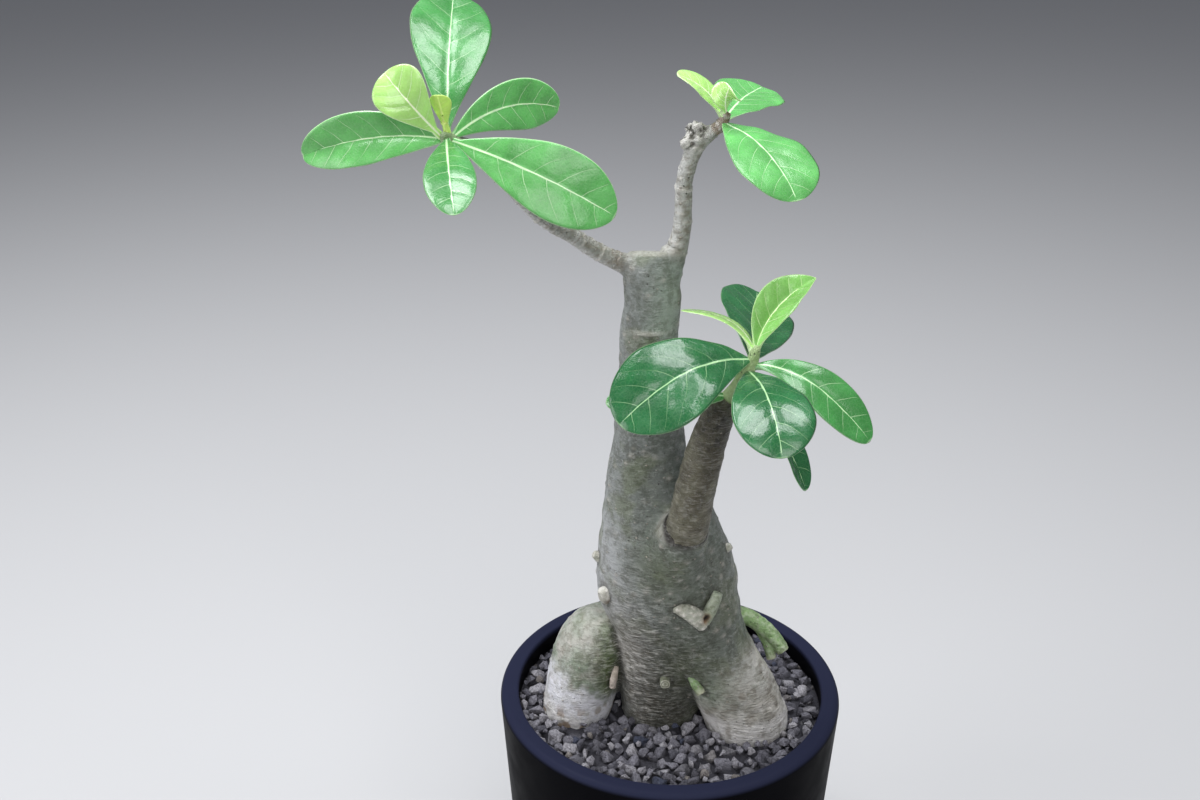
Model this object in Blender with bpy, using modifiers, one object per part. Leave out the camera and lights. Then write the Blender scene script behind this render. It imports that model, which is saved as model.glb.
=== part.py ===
"""Potted desert rose (adenium), in metres, +Z up, origin at the centre of the pot's bottom.

A black plastic pot holds potting mix under a dressing of lava gravel. The swollen trunk
stands in it on three thick root lobes and carries three stems, each with a crown of leaves.
Tables are in millimetres, because a plant's sizes read best that way.
"""
import math

import bmesh
import bpy
from mathutils import Matrix, Vector, noise

MM = 0.001
GAP = 0.3                      # between neighbours that touch on the real plant
OBJECT_NAME = "potted_desert_rose"

# ---- driving dimensions, in millimetres ----
POT_HEIGHT = 112.0
POT_RIM_RADIUS = 60.0
POT_FOOT_RADIUS = 53.5
RIM_FLAT = 6.4                 # width of the flat top of the rim
WALL = 2.2
POT_FLOOR = 3.0
FOOT_RECESS = 1.6              # depth of the ring-shaped hollow under the pot
PAD_RADIUS = 16.0              # flat middle of the underside, which rests on the table
FOOT_RING_INNER = 46.0
DRAIN_HOLES = 8
DRAIN_HOLE_RADIUS = 1.9
DRAIN_RING_RADIUS = 34.0
FOOT_NOTCH_WIDTH = 6.0
MIX_TOP = 98.0
GRAVEL_TOP = 106.6
GRAVEL_RELIEF = 1.3
GRAVEL_GRAIN = 4.6
GRAVEL_GRID = 28
RIM_DEPTH = 9.0                # the rim is thick down to here, on the inside
THROAT_DROP = 3.0              # the wall starts to thicken this far below that
THROAT_HEIGHT = 4.5            # and is fully thick this far above
RIM_ROUND = 2.6
FOOT_ROUND = 3.0
FOOT_NOTCH_DEPTH = 1.2
TRUNK_DEPTH_SCALE = 0.88       # the trunk is a little flatter from front to back
TRUNK_TRIANGLES = 2400
STEM_TRIANGLES = 480
LEAF_THICKNESS = 0.8
ROUND_STEPS = 44
PETIOLE_HALF_WIDTH = 0.9
SHELL_LIMIT = 2.5              # how far a sharp tip may stretch, in gaps

# Limbs: points (x, y, z, radius). The tube passes through them smoothly.
TRUNK_CORE = [
    (-10.3, 0, 274.0, 6.8), (-9.2, 0, 268, 8.6), (-8.4, 0, 261, 9.2), (-9.0, 0, 248, 9.1),
    (-9.4, 0, 234, 9.6), (-9.1, 0, 222, 10.6), (-8.5, 0, 209, 12.0), (-8.6, 0, 198, 13.8),
    (-6.9, 0, 186, 17.2), (-5.0, -0.5, 176, 20.4), (-2.8, -1, 163, 23.4), (-1.5, -1, 154, 24.2),
    (-0.8, -1, 146, 22.6), (-1.2, -1, 138, 19.6), (-2.0, -1.5, 129, 17.4), (-2.8, -2.2, 119, 15.7),
    (-3.0, -3, 108, 14.2), (-3.0, -3, 98, 12.4), (-3.0, -2, 84, 8.0), (-1.5, -2, 64, 4.6)]
LEFT_LOBE = [
    (-21.5, 2, 141.0, 8.0), (-22.5, 1.6, 136.5, 11.6), (-27.0, 0.5, 127.5, 13.1),
    (-30.4, -1, 117, 12.9), (-32.4, -2.5, 107, 12.4), (-34.0, -3, 97, 11.0),
    (-37.0, -3.5, 81, 6.6), (-40.5, -1, 62, 3.8)]
RIGHT_LOBE = [
    (3.0, -3, 154.0, 17.5), (5.6, -4, 146, 18.4), (9.5, -5, 137, 16.0), (14.2, -6, 129, 14.6),
    (19.5, -8, 121, 14.0), (24.0, -9.4, 113, 14.3), (26.6, -10.2, 105, 14.7),
    (28.0, -11, 97, 13.0), (31.0, -14, 83, 7.4), (35.5, -17, 64, 4.0)]
BACK_ROOT = [
    (4.0, 4, 140, 15.0), (6.0, 9, 122, 13.5), (8.0, 13.5, 106, 12.6), (9.0, 15, 97, 10.6),
    (12.0, 18, 80, 6.0), (15.0, 23, 62, 3.8)]
SIDE_COLLAR = [(-2.0, -9, 168, 13.5), (0.8, -16.5, 179, 9.8), (3.2, -20.6, 188.4, 7.6)]
TRUNK_LIMBS = [LEFT_LOBE, RIGHT_LOBE, BACK_ROOT, SIDE_COLLAR]

# Small growths that stand on the trunk: cut stubs, pegs and root tips.
BOW_STUB = [(-0.6, -21.6, 157.4, 1.0), (3.4, -22.6, 157.3, 2.6), (7.0, -22.8, 155.0, 3.0),
            (9.6, -22.4, 151.8, 2.5)]
BOW_PRONG = [(9.4, -21.8, 152.8, 2.2), (11.8, -20.8, 156.8, 2.2), (14.2, -19.0, 162.2, 1.7)]
LEFT_ROOT_TIP = [(-21.0, -8.8, 152.0, 1.7), (-22.8, -10.6, 155.6, 2.5), (-23.8, -11.0, 158.4, 1.9)]
LEFT_BUMP = [(-24.6, -3, 166.0, 2.0), (-26.8, -3.4, 167.6, 1.3)]
RIGHT_BUMP = [(17.0, -5, 170.6, 2.0), (19.4, -5.2, 171.8, 1.1)]
RINGED_KNOB = [(-2.5, -14, 124.9, 2.0), (-2.5, -18.4, 124.9, 1.9)]
GREEN_PEG = [(5.4, -16.2, 127.8, 1.0), (7.6, -18.8, 125.6, 1.6), (9.8, -21.0, 122.8, 1.6)]
GROOVE_ROOT = [(-19.0, -9.8, 126.4, 0.9), (-19.9, -11.8, 122.6, 1.3), (-20.4, -12.4, 119.0, 1.2)]
ARCHED_ROOT = [(20.0, 6, 137.5, 3.4), (27.0, 5, 136.8, 3.0), (32.0, 2.6, 134.6, 2.9),
               (36.6, 0.2, 131.0, 2.5), (39.6, -2, 127.0, 2.3)]
ARCHED_PRONG = [(31.0, 3.4, 134.0, 2.0), (34.2, 0.8, 128.8, 1.9), (35.8, -1.2, 123.4, 1.8)]
TRUNK_STUBS = [BOW_STUB, BOW_PRONG, LEFT_ROOT_TIP, LEFT_BUMP, RIGHT_BUMP, RINGED_KNOB,
               GREEN_PEG, GROOVE_ROOT, ARCHED_ROOT, ARCHED_PRONG]

LEFT_STEM = [
    (-10.5, 1, 267.0, 4.6), (-15.6, 0, 269.2, 3.5), (-19.8, -2, 271.6, 3.0), (-25.0, -4, 274.9, 2.75),
    (-32.6, -8, 281.2, 2.55), (-41.2, -12, 288.0, 2.5), (-49.4, -16, 297.8, 2.4),
    (-56.2, -20, 306.3, 2.3), (-61.6, -24, 312.4, 2.2), (-65.6, -27.8, 315.6, 2.0),
    (-67.0, -31, 317.3, 1.7), (-67.5, -33, 318.7, 1.0)]
RIGHT_STEM = [
    (-4.2, 0, 264.0, 5.0), (-2.6, 0, 270.4, 4.0), (-0.2, 0, 278.0, 3.1), (0.6, 0, 286.5, 2.75),
    (0.6, 0, 294.5, 2.65), (1.9, 0, 301.5, 2.6), (4.6, 0, 307.6, 2.6), (8.6, -0.2, 311.2, 2.2),
    (11.0, -0.4, 313.2, 1.9), (12.2, -0.8, 315.4, 1.6), (12.6, -1.8, 317.4, 1.0)]
RIGHT_STEM_KNOBS = [
    (3.4, -0.6, 309.0, 2.3), (3.8, -0.8, 312.4, 1.9), (0.7, -1.0, 308.0, 1.9), (5.2, 0.6, 312.0, 1.6),
    (2.2, 1.4, 311.6, 1.6)]
SIDE_STEM = [
    (1.6, -19, 182.0, 7.0), (3.6, -21.6, 191.0, 6.9), (4.8, -22, 199.0, 6.6), (6.6, -22, 209.4, 6.2),
    (9.0, -22, 219.6, 5.8), (11.4, -22, 227.6, 5.2), (13.2, -22, 231.6, 4.2), (15.0, -22, 234.4, 2.9),
    (17.2, -22.2, 238.0, 2.5), (19.4, -22.3, 242.4, 2.3), (21.0, -22.3, 246.0, 2.1),
    (22.0, -22.3, 249.6, 1.6), (22.6, -22.3, 251.6, 1.0)]

# Crowns: centre, and the direction that the crown faces.
CROWNS = {
    "left": ((-67.0, -31.0, 317.3), (-0.20, -0.78, 0.60)),
    "right": ((12.0, -0.6, 314.8), (0.15, -0.45, 0.88)),
    "side": ((21.0, -22.3, 246.0), (0.05, -0.35, 0.93))}

# Leaves: crown, then the midrib's base, middle control point and tip from the crown's
# centre, half width, roll about the midrib, fold of each half, droop of the margins, and
# the two powers that shape the outline.
LEAVES = {
    "leaf_left_top":
        ("left", (0.3, 1.2, -1.0), (0, 7, 17), (-0.5, 42, 31.5), 12.0, 26, 12, 0.10, 2.5, 0.50),
    "leaf_left_young":
        ("left", (-1.3, 0.2, 0.2), (-8.5, -8.5, 11), (-15.5, -1.5, 18), 7.6, -6, 8, 0.05, 2.3, 0.50),
    "leaf_left_bud":
        ("left", (0.3, 0.4, 0.9), (-0.6, -2.2, 8), (-1.2, -4, 12.5), 3.2, 0, -15, 0.0, 2.4, 0.50),
    "leaf_left_rear":
        ("left", (0.8, 2.1, -1.2), (15, 12, 10), (30.4, 28.2, 1.6), 7.3, 40, 6, 0.05, 1.7, 0.50),
    "leaf_left_outer":
        ("left", (0.6, 1.7, -1.1), (-19, 4, 2), (-42.5, 12.5, -8.5), 8.4, -20, 26, 0.10, 1.5, 0.50),
    "leaf_left_large":
        ("left", (1.2, 0.8, -1.1), (23.5, -12, -4.5), (46.5, -8, -20), 10.5, 6, 8, 0.05, 1.8, 0.55),
    "leaf_left_front":
        ("left", (0.3, -1.0, -0.4), (2.5, -23, 0), (5.5, -39, -10), 7.0, -18, 8, 0.05, 1.7, 0.50),
    "leaf_right_young":
        ("right", (0.1, -0.2, 0.4), (-4.5, 7, 9), (-14, 2, 12.5), 5.5, 10, 12, 0.10, 1.7, 0.50),
    "leaf_right_bud":
        ("right", (0.3, -0.6, 1.3), (-1, -1.5, 5.5), (1, -3.5, 10.5), 4.8, 0, 0, 0.05, 2.6, 0.50),
    "leaf_right_rear":
        ("right", (-0.2, 0.1, -0.5), (6, 21.5, 2), (15, 34.5, 2), 11.4, -8, 6, 0.05, 2.0, 0.50),
    "leaf_right_large":
        ("right", (-0.5, 0.1, -1.1), (11, -19.5, -0.5), (18.5, -31, -15.5), 13.4, -6, 6, 0.08, 1.7, 0.50),
    "leaf_side_upright":
        ("side", (1.0, 0.0, 3.6), (4.5, 9.5, 15), (20.5, 17, 21), 7.6, 0, 34, 0.05, 1.25, 0.80),
    "leaf_side_arched":
        ("side", (0.8, 0.0, 2.6), (-2, 8.5, 13.5), (-21, 12.5, 12.2), 5.0, 33, 0, 0.05, 1.7, 0.50),
    "leaf_side_rear":
        ("side", (0.2, 0.0, 0.4), (4.5, 27.5, 1), (6.5, 51, 4), 13.4, 20, 6, 0.05, 1.9, 0.50),
    "leaf_side_left":
        ("side", (0.1, 0.0, 0.8), (-20, -13, 9.5), (-40, -20.5, -11), 14.2, -12, 6, 0.08, 1.75, 0.50),
    "leaf_side_right":
        ("side", (-0.4, 0.0, -1.0), (15.5, -8.5, 5), (35, -13.5, -19.8), 7.5, 14, 10, 0.08, 2.0, 0.50),
    "leaf_side_front":
        ("side", (-1.2, 0.0, -2.8), (3, -26, 5), (5.5, -38.5, -12.5), 12.2, 0, 6, 0.08, 1.8, 0.50),
    "leaf_side_hanging":
        ("side", (-3.0, 0.1, -7.0), (11, -0.5, -20.5), (17.5, -9, -39), 6.6, -25, 20, 0.08, 1.6, 0.50),
    "leaf_side_low":
        ("side", (-6.0, 0.3, -11.6), (-19, -7, -6), (-44, -7, -10), 6.5, -15, 6, 0.08, 1.8, 0.50)}
YOUNG_LEAVES = ("leaf_left_young", "leaf_left_bud", "leaf_right_young", "leaf_right_bud",
                "leaf_side_upright", "leaf_side_arched")
LEAF_ROWS = 8
LEAF_COLUMNS = 4


# ---- scene helpers ----

def clear_scene():
    for obj in list(bpy.data.objects):
        bpy.data.objects.remove(obj)


def new_collection(name):
    collection = bpy.data.collections.new(name)
    bpy.context.scene.collection.children.link(collection)
    return collection


def principled(name, colour, roughness, metallic=0.0):
    material = bpy.data.materials.new(name)
    material.use_nodes = True
    shader = material.node_tree.nodes["Principled BSDF"]
    shader.inputs["Base Color"].default_value = (*colour, 1.0)
    shader.inputs["Roughness"].default_value = roughness
    shader.inputs["Metallic"].default_value = metallic
    return material


def add_object(name, mesh, collection, material=None):
    obj = bpy.data.objects.new(name, mesh)
    collection.objects.link(obj)
    mesh.materials.clear()
    if material:
        mesh.materials.append(material)
    return obj


def evaluated_mesh(obj):
    bpy.context.view_layer.update()
    graph = bpy.context.evaluated_depsgraph_get()
    return bpy.data.meshes.new_from_object(obj.evaluated_get(graph))


def apply_modifiers(obj):
    mesh = evaluated_mesh(obj)
    obj.modifiers.clear()
    obj.data = mesh


def clean(mesh, distance=0.01):
    """Weld loose caps and drop slivers."""
    work = bmesh.new()
    work.from_mesh(mesh)
    bmesh.ops.remove_doubles(work, verts=work.verts, dist=distance * MM)
    bmesh.ops.dissolve_degenerate(work, edges=work.edges, dist=distance * MM)
    bmesh.ops.triangulate(work, faces=work.faces)
    work.to_mesh(mesh)
    work.free()


def combine(obj, operation, other):
    boolean = obj.modifiers.new(operation.lower() + "_" + other.name, "BOOLEAN")
    boolean.operation = operation
    boolean.solver = "EXACT"
    boolean.object = other


def hide_as_guide(obj):
    obj.hide_render = True
    obj.display_type = "WIRE"


# ---- shape helpers ----

def turned(name, profile, collection, material=None, steps=ROUND_STEPS):
    """Turn a profile of (radius, height) points, from the axis up and down the outer side."""
    mesh = bpy.data.meshes.new(name)
    points = [(radius * MM, 0.0, height * MM) for radius, height in profile]
    mesh.from_pydata(points, [(i, i + 1) for i in range(len(points) - 1)], [])
    obj = add_object(name, mesh, collection, material)
    screw = obj.modifiers.new("turn", "SCREW")
    screw.steps = steps
    screw.render_steps = steps
    screw.use_merge_vertices = True
    screw.merge_threshold = 0.00001
    apply_modifiers(obj)
    clean(obj.data)
    return obj


def arc(centre, radius, start, stop, count):
    """Points of a rounded edge round a (radius, height) centre, angles in degrees."""
    angles = [math.radians(start + (stop - start) * i / count) for i in range(count + 1)]
    return [(centre[0] + radius * math.cos(a), centre[1] + radius * math.sin(a)) for a in angles]


def limb_mesh(points, sides=4, steps=5, depth_scale=1.0):
    """A tapered tube through (x, y, z, radius) points, with closed ends."""
    curve = bpy.data.curves.new("limb", "CURVE")
    curve.dimensions = "3D"
    curve.bevel_depth = MM
    curve.bevel_resolution = sides
    curve.resolution_u = steps
    curve.use_fill_caps = True
    spline = curve.splines.new("BEZIER")
    spline.bezier_points.add(len(points) - 1)
    for knot, (x, y, z, radius) in zip(spline.bezier_points, points):
        knot.co = (x * MM, y * MM, z * MM)
        knot.radius = radius
        knot.handle_left_type = "AUTO"
        knot.handle_right_type = "AUTO"
    obj = bpy.data.objects.new("limb", curve)
    bpy.context.scene.collection.objects.link(obj)
    mesh = evaluated_mesh(obj)
    bpy.data.objects.remove(obj)
    mesh.transform(Matrix.Diagonal((1.0, depth_scale, 1.0, 1.0)))
    clean(mesh)
    return mesh


def ball_mesh(x, y, z, radius):
    work = bmesh.new()
    bmesh.ops.create_icosphere(work, subdivisions=2, radius=radius * MM)
    bmesh.ops.translate(work, verts=work.verts, vec=Vector((x, y, z)) * MM)
    mesh = bpy.data.meshes.new("ball")
    work.to_mesh(mesh)
    work.free()
    return mesh


def joined(name, meshes, collection, material=None):
    work = bmesh.new()
    for mesh in meshes:
        work.from_mesh(mesh)
    mesh = bpy.data.meshes.new(name)
    work.to_mesh(mesh)
    work.free()
    return add_object(name, mesh, collection, material)


def grow_together(obj, voxel, smoothing):
    """Fuse overlapping limbs into one skin and soften the joins."""
    remesh = obj.modifiers.new("fuse", "REMESH")
    remesh.mode = "VOXEL"
    remesh.voxel_size = voxel * MM
    smooth = obj.modifiers.new("soften", "SMOOTH")
    smooth.factor = 0.5
    smooth.iterations = smoothing
    apply_modifiers(obj)


def thin_out(obj, triangles):
    clean(obj.data)
    decimate = obj.modifiers.new("thin_out", "DECIMATE")
    decimate.ratio = min(1.0, triangles / len(obj.data.polygons))
    apply_modifiers(obj)
    clean(obj.data, 0.02)


def inflated(obj, collection):
    """A cutter whose faces lie the gap outside the object's faces."""
    work = bmesh.new()
    work.from_mesh(obj.data)
    work.normal_update()
    shifts = [vert.normal * min(SHELL_LIMIT, vert.calc_shell_factor()) for vert in work.verts]
    for vert, shift in zip(work.verts, shifts):
        vert.co += shift * GAP * MM
    mesh = bpy.data.meshes.new("clearance")
    work.to_mesh(mesh)
    work.free()
    swollen = add_object(obj.name + "_clearance", mesh, collection)
    hide_as_guide(swollen)
    return swollen


# ---- pot and its fill ----

def wall_inside(height):
    """Inner radius of the pot's wall at a height above its floor."""
    taper = (POT_RIM_RADIUS - POT_FOOT_RADIUS) / POT_HEIGHT
    return POT_FOOT_RADIUS - WALL + taper * height


def make_pot(parts, cutters, material):
    inner_rim = POT_RIM_RADIUS - RIM_FLAT
    throat = POT_HEIGHT - RIM_DEPTH - THROAT_DROP
    inner_floor = wall_inside(POT_FLOOR)
    profile = [(0.0, POT_FLOOR), (inner_floor - 2.0, POT_FLOOR)]
    profile += [(wall_inside(POT_FLOOR + 2.0), POT_FLOOR + 2.0)]
    profile += [(wall_inside(throat), throat), (inner_rim, throat + THROAT_HEIGHT)]
    profile += [(inner_rim, POT_HEIGHT - 0.8), (inner_rim + 0.8, POT_HEIGHT)]
    profile += arc((POT_RIM_RADIUS - RIM_ROUND, POT_HEIGHT - RIM_ROUND), RIM_ROUND, 90, 0, 4)
    profile += arc((POT_FOOT_RADIUS - FOOT_ROUND, FOOT_ROUND), FOOT_ROUND, 0, -90, 3)
    profile += [(FOOT_RING_INNER, 0.0), (FOOT_RING_INNER - 0.8, FOOT_RECESS)]
    profile += [(PAD_RADIUS + 0.8, FOOT_RECESS), (PAD_RADIUS, 0.0), (0.0, 0.0)]
    pot = turned("pot", profile, parts, material)
    pot.data.shade_smooth()
    combine(pot, "DIFFERENCE", make_drainage(cutters))
    apply_modifiers(pot)
    clean(pot.data)
    pot.data.set_sharp_from_angle(angle=math.radians(40))
    return pot


def make_drainage(cutters):
    """Round holes through the floor, and notches through the foot ring to let water out."""
    work = bmesh.new()
    for i in range(DRAIN_HOLES):
        turn = Matrix.Rotation(2 * math.pi * (i + 0.5) / DRAIN_HOLES, 4, "Z")
        hole = Matrix.Translation((DRAIN_RING_RADIUS * MM, 0, 0))
        radius = DRAIN_HOLE_RADIUS * MM
        bmesh.ops.create_cone(work, segments=12, cap_ends=True, radius1=radius, radius2=radius,
                              depth=4 * POT_FLOOR * MM, matrix=turn @ hole)
        if i % 2 == 0:
            size = Matrix.Diagonal((12 * MM, FOOT_NOTCH_WIDTH * MM, 2 * FOOT_NOTCH_DEPTH * MM, 1))
            place = Matrix.Translation(((POT_FOOT_RADIUS - 4) * MM, 0, 0))
            bmesh.ops.create_cube(work, size=1.0, matrix=turn @ place @ size)
    mesh = bpy.data.meshes.new("drainage")
    work.to_mesh(mesh)
    work.free()
    drainage = add_object("drainage", mesh, cutters)
    hide_as_guide(drainage)
    return drainage


def make_mix(parts, trunk_clearance, material):
    bottom = POT_FLOOR + GAP
    profile = [(0.0, MIX_TOP), (wall_inside(MIX_TOP) - GAP, MIX_TOP)]
    profile += [(wall_inside(bottom + 3.0) - GAP, bottom + 3.0)]
    profile += [(wall_inside(bottom) - GAP - 3.4, bottom), (0.0, bottom)]
    mix = turned("potting_mix", profile, parts, material)
    combine(mix, "DIFFERENCE", trunk_clearance)
    apply_modifiers(mix)
    clean(mix.data)
    return mix


def grain_height(x, y):
    """Relief of packed grains, from the distances to the two nearest grain centres."""
    distances, _centres = noise.voronoi(Vector((x, y, 3.7)) / GRAVEL_GRAIN)
    bump = min(1.0, 2.2 * (distances[1] - distances[0]))
    return bump + 0.4 * noise.noise(Vector((x, y, 0.0)) / 9.0)


def make_gravel(parts, cutters, trunk_clearance, material):
    """A bumpy slab over the mix, cut to the pot's inside and round the trunk."""
    bottom = MIX_TOP + GAP
    work = bmesh.new()
    bmesh.ops.create_grid(work, x_segments=GRAVEL_GRID, y_segments=GRAVEL_GRID, size=POT_RIM_RADIUS)
    for vert in work.verts:
        vert.co.z = GRAVEL_TOP - GRAVEL_RELIEF + GRAVEL_RELIEF * grain_height(vert.co.x, vert.co.y)
    top = list(work.faces)
    lower = bmesh.ops.extrude_face_region(work, geom=top, use_keep_orig=True)
    for item in lower["geom"]:
        if isinstance(item, bmesh.types.BMVert):
            item.co.z = bottom
    bmesh.ops.recalc_face_normals(work, faces=work.faces)
    flat = [edge for edge in work.edges if all(abs(v.co.z - bottom) < 0.001 for v in edge.verts)]
    bmesh.ops.dissolve_limit(work, angle_limit=0.001, edges=flat, verts=[])
    bmesh.ops.scale(work, vec=(MM, MM, MM), verts=work.verts)
    mesh = bpy.data.meshes.new("gravel_dressing")
    work.to_mesh(mesh)
    work.free()
    gravel = add_object("gravel_dressing", mesh, parts, material)
    inner_rim = POT_RIM_RADIUS - RIM_FLAT - GAP
    throat = POT_HEIGHT - RIM_DEPTH - THROAT_DROP
    profile = [(0.0, POT_HEIGHT), (inner_rim, POT_HEIGHT), (inner_rim, throat + THROAT_HEIGHT)]
    profile += [(wall_inside(throat) - GAP, throat), (wall_inside(bottom) - GAP, bottom - 2.0)]
    profile += [(0.0, bottom - 2.0)]
    inside = turned("pot_inside", profile, cutters)
    hide_as_guide(inside)
    combine(gravel, "INTERSECT", inside)
    combine(gravel, "DIFFERENCE", trunk_clearance)
    apply_modifiers(gravel)
    clean(gravel.data)
    return gravel


# ---- trunk and stems ----

def make_trunk(parts, material):
    core = limb_mesh([(x, y / TRUNK_DEPTH_SCALE, z, r) for x, y, z, r in TRUNK_CORE], sides=8,
                     depth_scale=TRUNK_DEPTH_SCALE)
    trunk = joined("trunk", [core] + [limb_mesh(limb, sides=8) for limb in TRUNK_LIMBS], parts, material)
    grow_together(trunk, 1.6, 14)
    with_stubs = [trunk.data] + [limb_mesh(stub) for stub in TRUNK_STUBS]
    bpy.data.objects.remove(trunk)
    trunk = joined("trunk", with_stubs, parts, material)
    grow_together(trunk, 1.0, 3)
    thin_out(trunk, TRUNK_TRIANGLES)
    return trunk


def make_stem(name, points, extra, parts, trunk_clearance, material):
    meshes = [limb_mesh(points)] + [ball_mesh(*knob) for knob in extra]
    stem = joined(name, meshes, parts, material)
    grow_together(stem, 0.7, 2)
    thin_out(stem, STEM_TRIANGLES)
    combine(stem, "DIFFERENCE", trunk_clearance)
    apply_modifiers(stem)
    clean(stem.data)
    return stem


# ---- leaves ----

def outline(u, p, q):
    """Half width of an obovate blade, from 0 at the base to 1 at its widest."""
    return math.sin(math.pi * u ** p) ** q if 0.0 < u < 1.0 else 0.0


def blade_point(leaf, u, v):
    """A point of the blade: u runs from base to tip, v from one margin to the other."""
    crown, base, middle, tip, half, roll, fold, droop, p, q = leaf
    centre, facing = CROWNS[crown]
    base, middle, tip = [Vector(centre) + Vector(point) for point in (base, middle, tip)]
    point = base * (1 - u) ** 2 + middle * 2 * u * (1 - u) + tip * u ** 2
    along = ((middle - base) * (1 - u) + (tip - middle) * u).normalized()
    up = Vector(facing) - along * along.dot(Vector(facing))
    up.normalize()
    turn = math.radians(roll)
    normal = up * math.cos(turn) + along.cross(up) * math.sin(turn)
    across = along.cross(normal)
    width = max(half * outline(u, p, q), PETIOLE_HALF_WIDTH * (1 - u), 0.04 * half)
    lift = math.radians(fold)
    offset = v * width * math.cos(lift)
    height = abs(v) * width * math.sin(lift) - droop * width * v * v
    return point + across * offset + normal * height


def make_leaf(name, leaf, parts, stem_clearance, material):
    work = bmesh.new()
    bmesh.ops.create_grid(work, x_segments=LEAF_COLUMNS, y_segments=LEAF_ROWS, size=1.0)
    for vert in work.verts:
        vert.co = blade_point(leaf, 0.5 + 0.5 * vert.co.y, vert.co.x) * MM
    mesh = bpy.data.meshes.new(name)
    work.to_mesh(mesh)
    work.free()
    blade = add_object(name, mesh, parts, material)
    thicken = blade.modifiers.new("thicken", "SOLIDIFY")
    thicken.thickness = LEAF_THICKNESS * MM
    thicken.offset = 0.0
    apply_modifiers(blade)
    combine(blade, "DIFFERENCE", stem_clearance)
    apply_modifiers(blade)
    clean(blade.data)
    return blade


def main():
    clear_scene()
    parts = new_collection(OBJECT_NAME)
    cutters = new_collection("cutters")
    black_plastic = principled("black_plastic", (0.02, 0.021, 0.026), 0.42)
    soil = principled("potting_mix", (0.09, 0.06, 0.045), 0.95)
    lava = principled("lava_gravel", (0.16, 0.145, 0.16), 0.9)
    bark = principled("grey_green_bark", (0.26, 0.26, 0.2), 0.7)
    brown_bark = principled("brown_bark", (0.12, 0.095, 0.06), 0.75)
    mature = principled("mature_leaf", (0.05, 0.19, 0.04), 0.3)
    young = principled("young_leaf", (0.27, 0.5, 0.06), 0.3)

    trunk = make_trunk(parts, bark)
    trunk_clearance = inflated(trunk, cutters)
    make_pot(parts, cutters, black_plastic)
    make_mix(parts, trunk_clearance, soil)
    make_gravel(parts, cutters, trunk_clearance, lava)
    stems = {
        "left": make_stem("left_stem", LEFT_STEM, [], parts, trunk_clearance, bark),
        "right": make_stem("right_stem", RIGHT_STEM, RIGHT_STEM_KNOBS, parts, trunk_clearance, bark),
        "side": make_stem("side_stem", SIDE_STEM, [], parts, trunk_clearance, brown_bark)}
    clearances = {crown: inflated(stem, cutters) for crown, stem in stems.items()}
    for name, leaf in LEAVES.items():
        make_leaf(name, leaf, parts, clearances[leaf[0]], young if name in YOUNG_LEAVES else mature)


main()
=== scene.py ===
"""Looks of the potted desert rose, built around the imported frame.

The wood, the leaves and the pot repeat the construction of the CAD part at a fine
resolution, and add bark, veins, scars and separate lava grains. Tables are in
millimetres; everything in Blender is in metres, with the pot's underside at z = 0.
"""
import math

import bmesh
import bpy
import numpy as np
from mathutils import Matrix, Vector, noise
from mathutils.bvhtree import BVHTree


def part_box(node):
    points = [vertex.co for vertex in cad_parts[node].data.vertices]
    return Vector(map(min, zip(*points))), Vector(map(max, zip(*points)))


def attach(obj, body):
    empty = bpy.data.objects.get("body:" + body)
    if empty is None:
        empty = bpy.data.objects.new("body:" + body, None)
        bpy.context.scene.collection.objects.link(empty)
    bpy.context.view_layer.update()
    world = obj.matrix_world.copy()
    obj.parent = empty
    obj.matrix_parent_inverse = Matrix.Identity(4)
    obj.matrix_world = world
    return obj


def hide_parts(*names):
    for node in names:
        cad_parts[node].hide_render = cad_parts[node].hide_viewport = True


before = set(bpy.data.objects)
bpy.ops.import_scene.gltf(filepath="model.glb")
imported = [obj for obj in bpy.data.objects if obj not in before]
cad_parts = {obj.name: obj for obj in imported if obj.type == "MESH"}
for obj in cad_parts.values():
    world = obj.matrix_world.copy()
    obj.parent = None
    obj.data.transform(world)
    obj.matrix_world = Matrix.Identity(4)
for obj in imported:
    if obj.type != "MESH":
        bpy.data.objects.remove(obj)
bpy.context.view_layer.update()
MM = 0.001
WELD = 0.01 * MM               # vertices closer than this are one

# ---- the pot, from the frame ----
POT_LOW, POT_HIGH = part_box("pot")
POT_HEIGHT = POT_HIGH.z / MM
POT_RIM_RADIUS = POT_HIGH.x / MM
POT_FOOT_RADIUS = 53.5
RIM_FLAT = 6.4
WALL = 2.2
POT_FLOOR = 3.0
FOOT_RECESS = 1.6
PAD_RADIUS = 16.0
FOOT_RING_INNER = 46.0
DRAIN_HOLES = 8
DRAIN_HOLE_RADIUS = 1.9
DRAIN_RING_RADIUS = 34.0
FOOT_NOTCH_WIDTH = 6.0
FOOT_NOTCH_DEPTH = 1.2
FOOT_NOTCH_LENGTH = 12.0
FOOT_NOTCH_INSET = 4.0
RIM_DEPTH = 9.0
THROAT_DROP = 3.0
THROAT_HEIGHT = 4.5
RIM_ROUND = 2.6
RIM_INNER_ROUND = 0.9
FLOOR_CORNER = 2.0
RING_SLOPE = 0.8
FOOT_ROUND = 3.0
POT_STEPS = 192
MIX_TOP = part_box("potting_mix")[1].z / MM
GRAVEL_BED_TOP = 103.4
GRAVEL_LEVEL = 107.0
# Layers of grains: smallest and largest radius, tries, and how close two centres may come
# as a share of the sum of their radii.
GRAIN_LAYERS = [
    (3.7, 4.6, 520, 0.72), (2.8, 3.4, 2500, 0.66), (2.1, 2.6, 6000, 0.62), (1.4, 1.9, 7000, 0.62)]
FILLER_GRAINS = 520
FILLER_RADII = (1.5, 2.5)
FILLER_LEVELS = (102.6, 104.2)
TRUNK_DEPTH_SCALE = 0.88

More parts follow.
